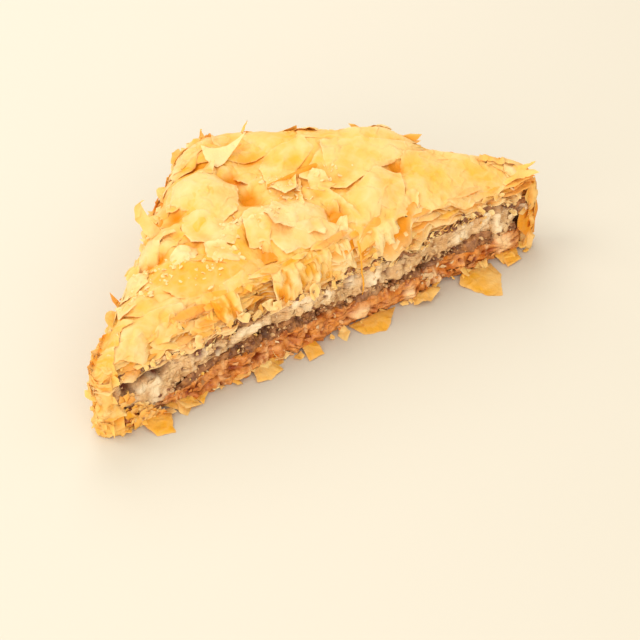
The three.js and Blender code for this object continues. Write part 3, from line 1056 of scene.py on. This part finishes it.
HOLLOWS = (
    (-7, 21, 4, -2.8), (-4, 10, 3, -2.4), (-4, 2, 3.5, -3), (-23, 9, 4, -3.2), (-12, -18, 2.6, -2.6),
    (-13, -12, 2.4, -2), (4, 15, 4, -2.2), (11, -15, 2.8, -3.0), (30.5, -24, 2.6, -2.6),
    (34, -10, 3, -2.4), (-37, 0, 3.4, -2.2), (-50, -23, 2, -1.8), (17, 19, 3.2, -1.6),
    (-36, -23, 4, -2), (-33, -1, 2.4, -2.2), (-27, 13, 2.2, -2.0), (-21, 19, 2.0, -1.8),
)
puff_up(under, HOLLOWS)
ground.z += puffed(ground.x, ground.y, HOLLOWS)
sheets = bmesh.new()
for outline, toast, pale in SHEETS:
    lay_flake(sheets, chance, outline, stiff=2.5, cells=48, curl=chance.uniform(0.1, 0.9), toast=toast,
              pale=pale, wrinkle=0.5, step_back=4.0, limp=0.35, overhang=1.6)

# ---------------------------------------------------------------------------------------------
# Small flakes. Bits of broken leaf lie over the sheets, mostly towards the edges of the crust.
# A few blisters then lift all that lies on them, so the sheets are finished here too.
# ---------------------------------------------------------------------------------------------
JUMBLE = (
    (-11, 27, 7, 0.8, 0.0), (4, 27, 6, 0.3, 0.2), (-8, 17, 5, 0.9, 0.0), (-1, 8, 5, 0.6, 0.1),
    (-30, -6, 6, 0.1, 0.5), (-21, -12, 6, 0.1, 0.4), (-36, 4, 5, 0.5, 0.1), (-43, -3, 6, 0.4, 0.1),
    (2, -16, 6, 0.0, 0.5), (-2, -10, 7, 0.0, 0.5), (22, 2, 6, 0.2, 0.1), (14, -4, 5, 0.1, 0.3),
    (11.5, -13, 3, 0.6, 0.2), (9, -18.5, 3.4, 0.3, 0.4), (-11, -16, 3, 0.5, 0.1),
    (31, -20, 3.5, 0.5, 0.1), (-24, 14, 5, 0.7, 0.0), (-17, 22, 5, 0.6, 0.1), (-30, 4, 5, 0.8, 0.0),
)
BLISTERS = (
    (40, 3, 6, 0.8), (-7, 20, 3, 1.2), (-14, 10, 5, 0.9), (22, -16, 5, 0.9), (-30, -14, 6, 0.6),
    (1, -12, 7, 0.8),
)
BITS_NEAR_RIM = 24


def at_times(chance, low, high):
    """A random value that is often 0: as often as low lies below it."""
    return max(chance.uniform(low, high), 0)


flakes = bmesh.new()
for x, y, size, toast, pale in JUMBLE:
    lay_flake(flakes, chance, shard(chance, x, y, 1.3 * size), stiff=0.2 * size, cells=16,
              curl=chance.uniform(0.6, 2.4), toast=toast, pale=pale)
for _ in range(BITS_NEAR_RIM):
    x, y = somewhere(chance, -0.5, 5)
    size = random_size(chance, 5.5, 0.4, 3, 10)
    lay_flake(flakes, chance, shard(chance, x, y, size), stiff=0.2 * size, cells=12,
              curl=chance.uniform(-0.4, 1.2), toast=chance.uniform(0.0, 0.5),
              pale=at_times(chance, -0.6, 0.4))

for crust in (under, sheets, flakes):
    puff_up(crust, BLISTERS)
ground.z += puffed(ground.x, ground.y, BLISTERS)
open_air = levelled(ground.z, 40)


def painted_light_by_relief(x, y, z):
    """Painted light from relief: a painted highlight on leaves that stand up into the air, and painted
    amber shade in the hollows away from the rim.
    """
    relief = z - ground.at(x, y, open_air)
    inside = held(rim.depth(x, y) / 3)
    return {"pale": 0.8 * held(relief / 1.2), "deep": inside * held(-relief - 0.1)}


for crust, name in ((under, "under_sheets"), (sheets, "crust_sheets"), (flakes, "crust_flakes")):
    finish(crust, name, crust_look, crease=60, later=painted_light_by_relief)

# ---------------------------------------------------------------------------------------------
# Side flakes. The baked sides and the tips are shaggy with leaf ends that hang, stand or lie
# against the wall all the way down to the plate.
# ---------------------------------------------------------------------------------------------
STRIP_CELLS = (20, 8)
WRAP_CELLS = (90, 60)


def lay_loose(piece, outline, spot, along, up, bend, crumple, cells, seed, fringe=0.4, **marks):
    """Adds a loose flake in the plane of along and up; bend is how fast it bows along each."""
    along = Vector(along).normalized()
    up = (Vector(up) - along * along.dot(Vector(up))).normalized()
    facing = along.cross(up)
    outline = np.array(outline, dtype=float)
    size = float(np.hypot(*outline.T).mean())

    def side_of(thick):
        def place(u, v):
            turn, share = disc(u, v)
            reach = torn_reach(outline, turn, size, fringe, seed) * share
            a, b = reach * np.cos(turn), reach * np.sin(turn)
            out = bend[0] * a ** 2 + bend[1] * b ** 2 + thick * (1 - share ** 6)
            out = out + crumple * size * hills(a, b, 0, 0.7 * size, seed)
            x, y, z = [spot[i] + along[i] * a + up[i] * b + facing[i] * out for i in range(3)]
            # The rim gets a painted highlight.
            pale = held(marks.get("pale", 0.0) + 0.3 * held(share * 6 - 5))
            marks_here = {"toast": 0.3, "deep": 0.0, **marks, "pale": pale}
            return (x, y, np.maximum(z, 0.05 + thick / 2)), marks_here
        return place

    lay_both_sides(piece, cells, cells, side_of)


def crust_edge(way):
    """The height of the crust at the rim."""
    x, y, out_x, out_y = rim.at(way)
    return ground.at(x - out_x, y - out_y, ground.base) + SINK


def hang_flakes(piece, chance, count, ways, sizes, lean, stands=(-0.8, 0.4), toasts=(0.0, 0.5),
                long=1.2, bow=0.05, palest=0.7):
    """Sets flakes against the wall between two ways round, at any height up to the crust."""
    for _ in range(count):
        way = chance.uniform(*ways) % rim.length
        x, y, out_x, out_y = rim.spot(way)
        size = min(chance.uniform(*sizes), 2.5 + 0.5 * (float(rim.points[0, 1]) - y))
        z = chance.uniform(0.2 * size, float(crust_edge(way)) - 0.4 * size)
        tilt = chance.uniform(*lean) * (1 if chance.uniform() < 0.5 else -1)
        stand = chance.uniform(*stands)
        up = (out_x * math.sin(tilt), out_y * math.sin(tilt), math.cos(tilt))
        along = (-out_y, out_x, chance.normal(0, 0.3))
        spot = (x + out_x * stand, y + out_y * stand, z)
        # Now and then a flake gets painted amber shade.
        lay_loose(piece, shard(chance, 0, 0, size, long, chance.normal(0, 0.4)), spot, along, up,
                  bend=chance.normal(0, bow, 2), crumple=0.2, cells=5, seed=int(chance.integers(1000)),
                  toast=chance.uniform(*toasts), pale=at_times(chance, -0.6, palest),
                  deep=at_times(chance, -1.2, 0.7))


def along_path(path, share):
    """Places on a smooth curve through a path's points."""
    path = np.array(path, dtype=float)
    path = np.vstack((2 * path[0] - path[1], path, 2 * path[-1] - path[-2]))
    spot = share * (len(path) - 3)
    first = np.minimum(spot.astype(int), len(path) - 4)
    t = (spot - first)[:, None]
    a, b, c, d = [path[first + step] for step in range(4)]
    return b + t / 2 * (c - a + t * (2 * a - 5 * b + 4 * c - d + t * (3 * (b - c) + d - a)))


def lay_ribbon(piece, path, widths, across, cup, **marks):
    """Adds a torn strip of leaf that follows a path and is cupped across its width."""
    across = np.array(across) / np.linalg.norm(across)
    facing = np.cross(np.array(path[-1]) - path[0], across)
    facing /= np.linalg.norm(facing)

    def side_of(thick):
        def place(u, v):
            width = np.interp(u, np.linspace(0, 1, len(widths)), widths)
            aside = (v - 0.5) * width * (1 + 0.3 * hills(9 * u, 3 * np.sign(v - 0.5), 0, 1, 120))
            full = (1 - np.abs(2 * v - 1) ** 6) * (1 - np.abs(2 * u - 1) ** 12)
            out = cup * aside ** 2 + thick * full + 0.2 * hills(14 * u, 4 * v, 0, 1, 121)
            points = along_path(path, u) + aside[:, None] * across + out[:, None] * facing
            return tuple(points.T), {"toast": 0.3, "pale": 0.0, "deep": 0.0, **marks}
        return place

    lay_both_sides(piece, *STRIP_CELLS, side_of)


CURLED_LEAF = (
    (-3.5, 5.2), (-0.5, 3.2), (2.5, 2.4), (8.5, 2.8), (3.5, 0), (-1.5, -3.8), (-3.5, -4.8), (-4.6, 0),
)
STRIPS = (
    (((-28.5, 6.5, 24), (-30.2, 8.8, 27.5), (-31.4, 10.8, 31), (-31.2, 11.6, 33.4), (-29.8, 11, 34.2)),
     (3.4, 3.0, 2.8, 2.2, 1.0), (0.83, -0.19, 0.43), 0.15, {"pale": 0.4}),
    (((-27.8, 6.5, 24), (-29, 9.5, 27), (-30.4, 11.5, 29.4)), (2.6, 2.2, 0.6), (0.83, -0.19, 0.43),
     -0.15, {"deep": 0.5}),
    (((8, 25.5, 30), (10.5, 26.5, 31.6), (12.8, 27, 34)), (2.6, 1.4, 0.3), (0.4, -0.6, 0.5), 0.1, {}),
    (((2.5, 32.5, 28.5), (2.2, 33.5, 30.4), (2.6, 34, 32)), (2.2, 1.2, 0.3), (1, 0, 0.2), 0.1,
     {"pale": 0.3}),
    (((62, -24, 24.2), (65, -25, 24.6), (67.8, -25.8, 25.6)), (2.4, 1.4, 0.3), (0, 1, 0.6), 0.1, {}),
    (((10.4, -24.8, 24.2), (9.9, -26.6, 21), (9.7, -27.2, 16), (10.1, -27.3, 12), (9.8, -27, 9)),
     (0.8, 0.5, 0.4, 0.4, 0.2), (1, 0.3, 0.1), 0.1, {"toast": 0.8, "deep": 0.2}),
)
curls = bmesh.new()
lay_loose(curls, CURLED_LEAF, (-0.5, 19.4, 32.0), (12, -2, 1), (1.5, 8.5, 1.0), bend=(0.03, 0.03),
          crumple=0.05, cells=24, seed=3, fringe=0.3, pale=1.0, toast=0.0)
for path, widths, across, cup, marks in STRIPS:
    lay_ribbon(curls, path, widths, across, cup, **marks)
finish(curls, "curled_flakes", crust_look, crease=60)


def wrap(piece, ways, high, seed, deep=0.0):
    """Adds a crumpled sheet that the baking bent down over the wall and stuck to it."""
    def side_of(thick):
        def place(u, v):
            way = ways[0] + (ways[1] - ways[0]) * u
            x, y, out_x, out_y = rim.at(way % rim.length)
            top = crust_edge(way % rim.length) * high
            over = held((v - 0.82) / 0.18)
            z = 0.1 + np.minimum(v / 0.82, 1) * top
            folds = 1 - 2.4 * np.abs(hills(x, y, 0.8 * z, 4.0, seed))
            small = 1 - 2.4 * np.abs(hills(x, y, z, 1.6, seed + 1))
            small = small + 0.8 * np.sign(hills(x, y, 1.3 * z, 3.1, seed + 3))
            inside = 16 * np.minimum(u, 1 - u) + 2 * hills(x, y, z, 3, seed + 2) - 0.6
            relief = 0.6 * folds + 0.45 * small
            out = -1.5 + held(inside) * (2.2 + relief * (1 - 0.6 * over)) - 5 * over ** 1.5
            thick_here = thick * held(20 * np.minimum(v, 1 - v))
            x, y = x + out_x * (out + thick_here), y + out_y * (out + thick_here)
            # Painted highlight on the crumple's ridges and painted amber shade in its valleys.
            marks = {"pale": np.clip(0.1 + 0.35 * relief, 0, 0.5), "toast": 0.6,
                     "deep": held(deep + 0.2 - 0.9 * relief) * (1 - over)}
            z = z + (ground.at(x, y) + 0.3 + 0.3 * relief - z) * held(2 * over)
            return (x, y, z + thick_here), marks
        return place

    lay_both_sides(piece, *WRAP_CELLS, side_of)


chance = np.random.default_rng(23)
side_flakes = bmesh.new()
wrap(side_flakes, ways=(cut_start - 20, cut_start + 4), high=0.98, seed=140)
wrap(side_flakes, ways=(cut_end - 2, cut_end + 16), high=0.9, seed=150, deep=0.3)
hang_flakes(side_flakes, chance, count=280, ways=(cut_end, rim.length + cut_start), sizes=(3.0, 7.5),
            lean=(0.0, 0.25), toasts=(0.2, 1.0), long=1.9, palest=0.3)
hang_flakes(side_flakes, chance, count=110, ways=(cut_start - 16, cut_start - 1), sizes=(1.6, 4.2),
            lean=(0.0, 0.7), stands=(-0.1, 1.1), toasts=(0.1, 0.8), long=1.3, bow=0.12, palest=0.6)
hang_flakes(side_flakes, chance, count=24, ways=(cut_end, cut_end + 8), sizes=(2.5, 6.0),
            lean=(0.0, 0.5), toasts=(0.3, 0.9), palest=0.3)
STANDING_FLAKES = 90
for number in range(STANDING_FLAKES):
    left = number % 4
    way = chance.uniform(0, cut_start) if left else chance.uniform(cut_end, rim.length)
    x, y, out_x, out_y = rim.spot(way)
    size = chance.uniform(3, 7) if left else chance.uniform(2, 4.5)
    depth, tilt = chance.uniform(0.2, 2.5), chance.normal(0.1, 0.3)
    spot = (x - out_x * depth, y - out_y * depth, float(crust_edge(way)) - chance.uniform(0.4, 5))
    lay_loose(side_flakes, shard(chance, 0, 0, size), spot, (-out_y, out_x, chance.normal(0, 0.15)),
              (out_x * math.cos(tilt), out_y * math.cos(tilt), math.sin(tilt)),
              bend=chance.normal(0, 0.03, 2), crumple=0.12, cells=5, seed=int(chance.integers(1000)),
              toast=chance.uniform(0, 0.5), pale=at_times(chance, -0.5, 0.6))
# The lower wall leaf at the right tip is painted deep orange as the shade and glow in the tip's hollow.
RIGHT_WALL_LEAVES = (
    (((-4, 5.5), (3.6, 6.2), (4.4, -1), (2.6, -7), (-1.5, -6.5), (-4.5, -2)), (66.2, -25.6, 9.4),
     (0.9, 0.25, 0), (0.05, 0.05, 1), 16, 7, 0.8, 0.75),
    (((-3, 6), (2.4, 5.2), (3.4, 0), (1.8, -4.5), (-2.6, -5.5)), (69.0, -24.2, 12.6),
     (0.55, 0.8, 0), (0.1, 0.0, 1), 14, 9, 0.3, 0.0),
)
for outline, spot, along, up, cells, seed, toast, deep in RIGHT_WALL_LEAVES:
    lay_loose(side_flakes, outline, spot, along, up, bend=(-0.03, 0.0), crumple=0.08, cells=cells,
              seed=seed, toast=toast, deep=deep)
# The lower leaves of this stack carry more painted amber shade than the top one.
RIGHT_TIP_LEAVES = (
    (((-6, -0.2), (-2.5, -1.4), (1.4, -1.0), (2.4, 1.0), (1, 3.5), (-5, 3)), (62.6, -27.1, 20.7),
     0.16, 0.9, 0.4),
    (((-4, -1), (0.5, -0.4), (2.8, -1.4), (2.6, 2.5), (-4, 3)), (63.0, -27.2, 21.9), 0.06, 0.7, 0.5),
    (((-7, 0.2), (-3, -1), (0, -0.6), (3.4, -1.5), (2.6, 1.5), (-6, 3.5)), (62.7, -27.0, 22.9),
     0.13, 0.8, 0.2),
    (((-6, 0.8), (-1.5, -0.4), (3.9, -2), (2.8, 1), (0.5, 3), (-6, 3)), (63.0, -27.1, 23.9),
     0.17, 0.4, 0.0),
)
for number, (outline, spot, slope, toast, deep) in enumerate(RIGHT_TIP_LEAVES):
    lay_loose(side_flakes, outline, spot, (1, 0, slope), (0, 1, 0.1), bend=(0.0, -0.03), crumple=0.13,
              cells=16, seed=20 + 3 * number, fringe=0.9, toast=toast, pale=0.25, deep=deep)
HEAP_FROM, HEAP_TO, HEAP_HIGH = -62.0, -51.5, 12.0
HEAP_BITS = 60
for _ in range(HEAP_BITS):
    share = chance.uniform(0, 1)
    x = HEAP_FROM + (HEAP_TO - HEAP_FROM) * share
    y = float(rim.at(way_at(x))[1])
    z, lean = 0.6 + chance.uniform(0, 1) * HEAP_HIGH * (1 - share), chance.uniform(-0.2, 0.7)
    lay_loose(side_flakes, shard(chance, 0, 0, chance.uniform(1.8, 3.6)),
              (x, y - chance.uniform(0, 1.2), z), (1, 0, chance.normal(0, 0.4)),
              (0, -math.sin(lean), math.cos(lean)), bend=chance.normal(0, 0.1, 2), crumple=0.25,
              cells=5, seed=int(chance.integers(1000)), toast=chance.uniform(0.2, 0.9),
              pale=at_times(chance, -0.6, 0.6), deep=at_times(chance, -0.8, 0.7))
finish(side_flakes, "side_flakes", crust_look, crease=60)

# ---------------------------------------------------------------------------------------------
# Draped flakes. Where the knife came down, torn ends of the crust's leaves hang and crumple over
# the cut in small soft folds, golden above and cream towards the upper nuts.
# ---------------------------------------------------------------------------------------------
CRUMPLED_ENDS = 56
LYING_STRIPS = 110


def leaf_end(share, calm=1.0):
    """How far behind the outline a leaf ends, from the crust's foot, 0, to its top, 1."""
    return 0.6 + 0.8 * STEP_BACK * share ** 1.3 * calm


def leaning_back(out_x, out_y, lean):
    """The upward direction of a bit that leans in over the crust by an angle."""
    return -out_x * math.sin(lean), -out_y * math.sin(lean), math.cos(lean)


chance = np.random.default_rng(37)
drapes = bmesh.new()
for _ in range(CRUMPLED_ENDS):
    way = chance.uniform(cut_start + 6, cut_end - 36)
    x, y, out_x, out_y = rim.spot(way)
    low, high = float(upper_top(way)), float(crust_edge(way))
    share = chance.uniform(0, 1) ** 1.3
    z = low + 0.8 + share * (high - low - 2.2)
    back = leaf_end(share) - chance.uniform(-0.3, 1.0)
    size, lean = chance.uniform(1.6, 4.0), chance.uniform(-0.2, 1.1)
    # Some ends get painted amber shade, more of it higher up.
    lay_loose(drapes, shard(chance, 0, 0, size), (x - out_x * back, y - out_y * back, z),
              (-out_y, out_x, chance.normal(0, 0.4)), leaning_back(out_x, out_y, lean),
              bend=(chance.normal(0, 0.07), chance.normal(0, 0.05)), crumple=0.4, cells=9,
              seed=int(chance.integers(1000)), toast=chance.uniform(0, 0.3 + 0.4 * share),
              pale=chance.uniform(0.1, 1.0) * (1 - 0.6 * share),
              deep=at_times(chance, -1.2, 0.8) * (0.3 + 0.7 * share))
for _ in range(LYING_STRIPS):
    way = chance.uniform(cut_start + 4, cut_end - 6)
    x, y, out_x, out_y = rim.spot(way)
    share = chance.uniform(0.8 if -24 < x < 8 else 0.35, 1.0)
    back = leaf_end(share, float(stepped(x)))
    x, y, low = x - out_x * back, y - out_y * back, float(upper_top(way))
    lean = chance.uniform(0.7, 1.3)
    lay_loose(drapes, shard(chance, 0, 0, chance.uniform(3.5, 6.5), 2.2, chance.normal(0, 0.08)),
              (x, y, low + share * (float(ground.at(x, y, ground.base)) + 0.5 - low) + 0.2),
              (-out_y, out_x, chance.normal(0, 0.05)), leaning_back(out_x, out_y, lean),
              bend=(chance.normal(0, 0.01), chance.normal(0, 0.08)), crumple=0.12, cells=6,
              seed=int(chance.integers(1000)), toast=chance.uniform(0.2, 0.9),
              pale=at_times(chance, -0.4, 0.5), deep=at_times(chance, -0.6, 0.6))
CURTAINS = (
    (-15.0, -7.0, 0.4, 0.0), (-9.0, -1.0, 0.0, 0.8), (-3.5, 4.0, -0.4, 0.0), (2.0, 10.0, -0.8, 0.6),
    (15.0, 24.0, 0.3, 0.9), (-32.0, -25.0, 0.6, 0.3), (59.0, 66.0, 0.3, -0.8),
)
CURTAIN_CELLS = (72, 30)


def curtain(left, right, forward, soft, seed):
    """A torn sheet that hangs from under the top ones down to the upper nuts in upright folds.
    Forward is how far it stands out, and soft how pale and damp it is."""
    def side_of(thick):
        def place(u, v):
            x = left + (right - left) * u
            way = way_at(x)
            front = rim.at(way)[1]
            ends = held(8 * np.minimum(u, 1 - u))
            low = upper_top(way) + 2.2 + 1.6 * hills(x, 0, 0, 1.7, seed) - 1.0 * ends
            high = ground.at(x, front + 5.0, ground.base) + 0.6
            z = low + (high - low) * np.sin(v * math.pi / 2) + 0.3 * hills(x, 0, 9 * v, 1.5, seed + 1)
            x = x + 0.9 * hills(x, 0, 2.5 * v, 2.4, seed + 4) * (1 - v)
            fold = hills(x, 0, 3.5 * v, 2.3, seed + 2) + 0.6 * hills(x, 0, 6 * v, 0.9, seed + 3)
            hang = held(1 - v) ** 0.6
            y = front + 1.0 + 4.6 * v ** 1.5 - forward - 1.0 * fold * hang + 1.2 * (1 - ends)
            y = y - 0.5 * np.sign(hills(x, 0, 5 * v, 1.7, seed + 6)) * hang * v
            x = x + 0.12 * hills(3 * x, 0, 12 * v, 1.0, seed + 5)
            sides = np.minimum(np.minimum(u, 1 - u), np.minimum(v, 1 - v))
            # Folds that stand out get a painted highlight and folds set back painted amber shade; soft
            # leaves are paler too.
            return (x, y - thick * held(12 * sides), z), {
                "toast": 0.5 - 0.4 * soft, "pale": held(0.35 + 0.3 * soft + 0.9 * fold) * hang,
                "deep": np.clip(-1.2 * fold - 0.1, 0, 0.8 - 0.5 * soft)}
        return place
    return side_of


for number, measures in enumerate(CURTAINS):
    lay_both_sides(drapes, *CURTAIN_CELLS, curtain(*measures, seed=170 + 7 * number))
finish(drapes, "draped_flakes", crust_look, crease=60)

# ---------------------------------------------------------------------------------------------
# Crumbs. Cutting left crumbs and small torn bits of leaf stuck all over the cut: golden ones
# fallen from the crust, pale soft ones from the middle and soaked ones below. Some lie on the
# crust in loose clusters, and cream ones are pressed over the upper nuts.
# ---------------------------------------------------------------------------------------------
CUT_CRUMBS, CLUSTER_CRUMBS, NUT_LINE_CRUMBS = 280, 190, 230
TORN_BITS = 70
CLUSTERS = (
    (-29, -15), (-38, -4), (5, -3), (18, -3), (-20, -12), (-36, -8), (-14, -5), (-46, -10), (4, 2),
    (-6, -9),
)


def scrap(piece, chance, spot, size, along, up, cells=4, **marks):
    """A small torn bit, crumpled almost to a crumb."""
    lay_loose(piece, shard(chance, 0, 0, size), spot, along, up, bend=chance.normal(0, 0.15, 2),
              crumple=0.35, cells=cells, seed=int(chance.integers(1000)), fringe=0.15 * size, **marks)


chance = np.random.default_rng(29)
golden, soft, soaked = bmesh.new(), bmesh.new(), bmesh.new()
for _ in range(CUT_CRUMBS):
    way = chance.uniform(cut_start, cut_end)
    x, y, out_x, out_y = rim.spot(way)
    top = float(upper_top(way)) + 3
    z = chance.uniform(0.1, 1) ** 0.7 * top
    size = random_size(chance, 1.2, 0.45, 0.6, 3.4)
    stand = float(torn_unevenly(x, y, z)) + chance.uniform(-0.6, 0.2)
    spot = (x + out_x * stand, y + out_y * stand, z)
    along, up = (1, 0, 0) + chance.normal(0, 0.5, 3), (0, -0.6, 1) + chance.normal(0, 0.5, 3)
    if chance.uniform() < 0.05 + 0.5 * (z / top > 0.8) + 0.3 * (z / top < 0.15):
        scrap(golden, chance, spot, min(size, 2.0), along, up, toast=chance.uniform(0.2, 0.7),
              pale=chance.uniform(0, 0.4))
    elif z < float(upper_floor(way)) and not nut_floor(way) < z < nut_top(way):
        scrap(soft, chance, spot, size, along, up, cut=1.0, smear=chance.uniform(0, 0.5), crack=0.0)


def torn_bits(piece, chance, low, high):
    """Presses small torn ends of leaf flat against the cut between two levels."""
    for _ in range(TORN_BITS):
        way = chance.uniform(cut_start, cut_end)
        x, y, out_x, out_y = rim.spot(way)
        z = chance.uniform(float(low(way)), max(float(high(way)), float(low(way)) + 0.5))
        size = random_size(chance, 1.7, 0.4, 0.9, 3.4)
        stand = float(torn_unevenly(x, y, z)) + chance.uniform(-0.5, 0.2)
        scrap(piece, chance, (x + out_x * stand, y + out_y * stand, z), size,
              (-out_y, out_x, chance.normal(0, 0.5)), (chance.normal(0, 0.3), -0.3, 1), cells=5,
              cut=1.0, smear=at_times(chance, -0.6, 0.7), crack=at_times(chance, -0.5, 0.5))


torn_bits(soft, chance, nut_top, upper_floor)
torn_bits(soaked, chance, lambda way: 0.6 + 0 * way, nut_floor)

for number in range(CLUSTER_CRUMBS):
    a, b = CLUSTERS[number % len(CLUSTERS)]
    x, y = a + chance.normal(0, 2.6), b + chance.normal(0, 1.6)
    size = random_size(chance, 1.1, 0.4, 0.6, 2.2)
    spot = (x, y, float(ground.at(x, y)) - 0.05 * size)
    scrap(golden, chance, spot, size, (1, 0, 0) + chance.normal(0, 0.3, 3),
          (0, 1, 0) + chance.normal(0, 0.3, 3), cells=3, toast=0.0, pale=chance.uniform(0.5, 1.0))
chance = np.random.default_rng(43)
for _ in range(NUT_LINE_CRUMBS):
    way = chance.uniform(cut_start, cut_end)
    x, y, out_x, out_y = rim.spot(way)
    size = random_size(chance, 1.3, 0.4, 0.7, 2.4)
    z = float(upper_floor(way)) + chance.uniform(-0.3, 1.3) * float(upper_top(way) - upper_floor(way))
    stand = float(torn_unevenly(x, y, z)) + chance.uniform(-0.5, 0.3)
    cream = chance.uniform(0.4, 1.0)
    if hills(x, 0, z, 5, 84) > -0.15:
        scrap(golden, chance, (x + out_x * stand, y + out_y * stand, z), size,
              (1, 0, 0) + chance.normal(0, 0.4, 3), (0, -0.4, 1) + chance.normal(0, 0.4, 3), cells=5,
              toast=chance.uniform(0, 0.4), pale=cream, deep=at_times(chance, -0.6, 0.5))
finish(golden, "golden_crumbs", crust_look, crease=60)
finish(soft, "soft_crumbs", moist_look, crease=60)
finish(soaked, "soaked_crumbs", syrup_look, crease=60)

# ---------------------------------------------------------------------------------------------
# Fallen flakes. Bits of the lowest golden leaves reach out over the plate in front of the cut.
# They are thin, brittle and nearly flat, and smaller scraps lie between them.
# ---------------------------------------------------------------------------------------------
FALLEN = (
    ((43, -26.5), (39.5, -29.5), (42.3, -37.5), (45.6, -40), (51.4, -32.5), (52.5, -26.5)),
    ((6, -26), (7.2, -31.5), (12.5, -33.8), (21, -26.5)),
    ((-9, -26), (-10.5, -32), (-5.6, -31.7), (-4.8, -26)),
    ((-24.4, -26), (-25.7, -31), (-22.3, -32.2), (-17.6, -30.7), (-18.8, -26)),
    ((-42.2, -24.5), (-41.2, -30.2), (-36.9, -25.9)),
    ((-49.6, -25), (-46.8, -29.8), (-43.1, -27.7), (-43, -25)),
    ((-58, -27), (-56.8, -33.4), (-52.5, -34.8), (-49, -27)),
    ((56, -26), (54.7, -31), (59.9, -30.5), (61.5, -26)),
)
FALLEN_SCRAPS = 46
chance = np.random.default_rng(31)
fallen = bmesh.new()
for outline in FALLEN:
    outline = np.array(outline)
    middle = outline.mean(axis=0)
    lay_loose(fallen, outline - middle, (*middle, 0.9), (1, 0, 0), (0, 1, 0.14), bend=(-0.02, -0.02),
              crumple=0.06, cells=20, seed=int(chance.integers(1000)), fringe=0.25,
              toast=chance.uniform(0.3, 0.7), deep=0.1)
for _ in range(FALLEN_SCRAPS):
    way = chance.uniform(cut_start + 2, cut_end - 2)
    x, y, _, _ = rim.spot(way)
    size = random_size(chance, 3.2, 0.4, 1.5, 6)
    tilt = chance.normal(0, 0.25, 2)
    lay_loose(fallen, shard(chance, 0, 0, size),
              (x, y - chance.uniform(-0.8, 1.6), chance.uniform(0.2, 1.4)),
              (1, 0, tilt[0]), (0, 1, tilt[1] + 0.2), bend=chance.normal(0, 0.05, 2), crumple=0.2,
              cells=7, seed=int(chance.integers(1000)), toast=chance.uniform(0.1, 0.6),
              pale=at_times(chance, -0.6, 0.6))
finish(fallen, "fallen_flakes", crust_look, crease=60)

# ---------------------------------------------------------------------------------------------
# Stage. A pale table top under soft studio light, and the camera.
# ---------------------------------------------------------------------------------------------
CAMERA_AT = Vector((-266.8, -408.8, 346.1)) * MM
CAMERA_TOWARDS = Vector((2.0, -19.0, 0.0)) * MM
CAMERA_ROLL = math.radians(-2.2)
CAMERA_LENS = 128.1
WARM_LIGHT, NEUTRAL_LIGHT, AIR_LIGHT = (1.0, 0.98, 0.95), (1.0, 0.99, 0.97), (1.0, 0.985, 0.96, 1.0)
AIR_BRIGHTNESS = 0.9
LAMPS = (
    ("key_light", (-0.5, 0.35, 0.9), (0, 0, 0), 0.7, 5.5, WARM_LIGHT),
    ("back_light", (0.35, 0.8, 0.7), (0, 0, 0.02), 0.7, 4.0, WARM_LIGHT),
    ("front_light", (-0.4, -1.0, 0.5), (0, 0, 0.01), 0.9, 6.0, NEUTRAL_LIGHT),
    ("left_light", (-1.0, -0.45, 0.3), (-0.04, 0, 0.015), 0.7, 3.0, NEUTRAL_LIGHT),
)
TABLE_HALF_WIDTH = 1.5
TABLE_COLOUR, TABLE_ROUGHNESS = tint(203, 194, 175), 0.6

camera_data = bpy.data.cameras.new("camera")
camera_data.lens = CAMERA_LENS
camera_data.clip_start = 0.05
camera_data.clip_end = 20.0
camera = bpy.data.objects.new("camera", camera_data)
bpy.context.scene.collection.objects.link(camera)
camera.location = CAMERA_AT
camera.rotation_mode = "QUATERNION"
looking = (CAMERA_TOWARDS - CAMERA_AT).to_track_quat("-Z", "Y")
camera.rotation_quaternion = looking @ Quaternion((0, 0, 1), CAMERA_ROLL)
bpy.context.scene.camera = camera
bpy.context.scene.view_settings.view_transform = "Standard"

for name, spot, aim, size, watts, colour in LAMPS:
    lamp_data = bpy.data.lights.new(name, "AREA")
    lamp_data.size = size
    lamp_data.energy = watts
    lamp_data.color = colour
    lamp = bpy.data.objects.new(name, lamp_data)
    lamp.location = spot
    lamp.rotation_mode = "QUATERNION"
    lamp.rotation_quaternion = (Vector(aim) - Vector(spot)).to_track_quat("-Z", "Y")
    bpy.context.scene.collection.objects.link(lamp)

world = bpy.data.worlds.new("studio")
bpy.context.scene.world = world
world.use_nodes = True
air = world.node_tree.nodes["Background"].inputs
air["Color"].default_value = AIR_LIGHT
air["Strength"].default_value = AIR_BRIGHTNESS

table = bmesh.new()
bmesh.ops.create_grid(table, x_segments=1, y_segments=1, size=TABLE_HALF_WIDTH)
table_mesh = bpy.data.meshes.new("table_top")
table.to_mesh(table_mesh)
table.free()
table_top = bpy.data.objects.new("table_top", table_mesh)
bpy.context.scene.collection.objects.link(table_top)
table_look = bpy.data.materials.new("table_look")
table_look.use_nodes = True
paint = table_look.node_tree.nodes["Principled BSDF"].inputs
paint["Base Color"].default_value = TABLE_COLOUR
paint["Roughness"].default_value = TABLE_ROUGHNESS
table_mesh.materials.append(table_look)
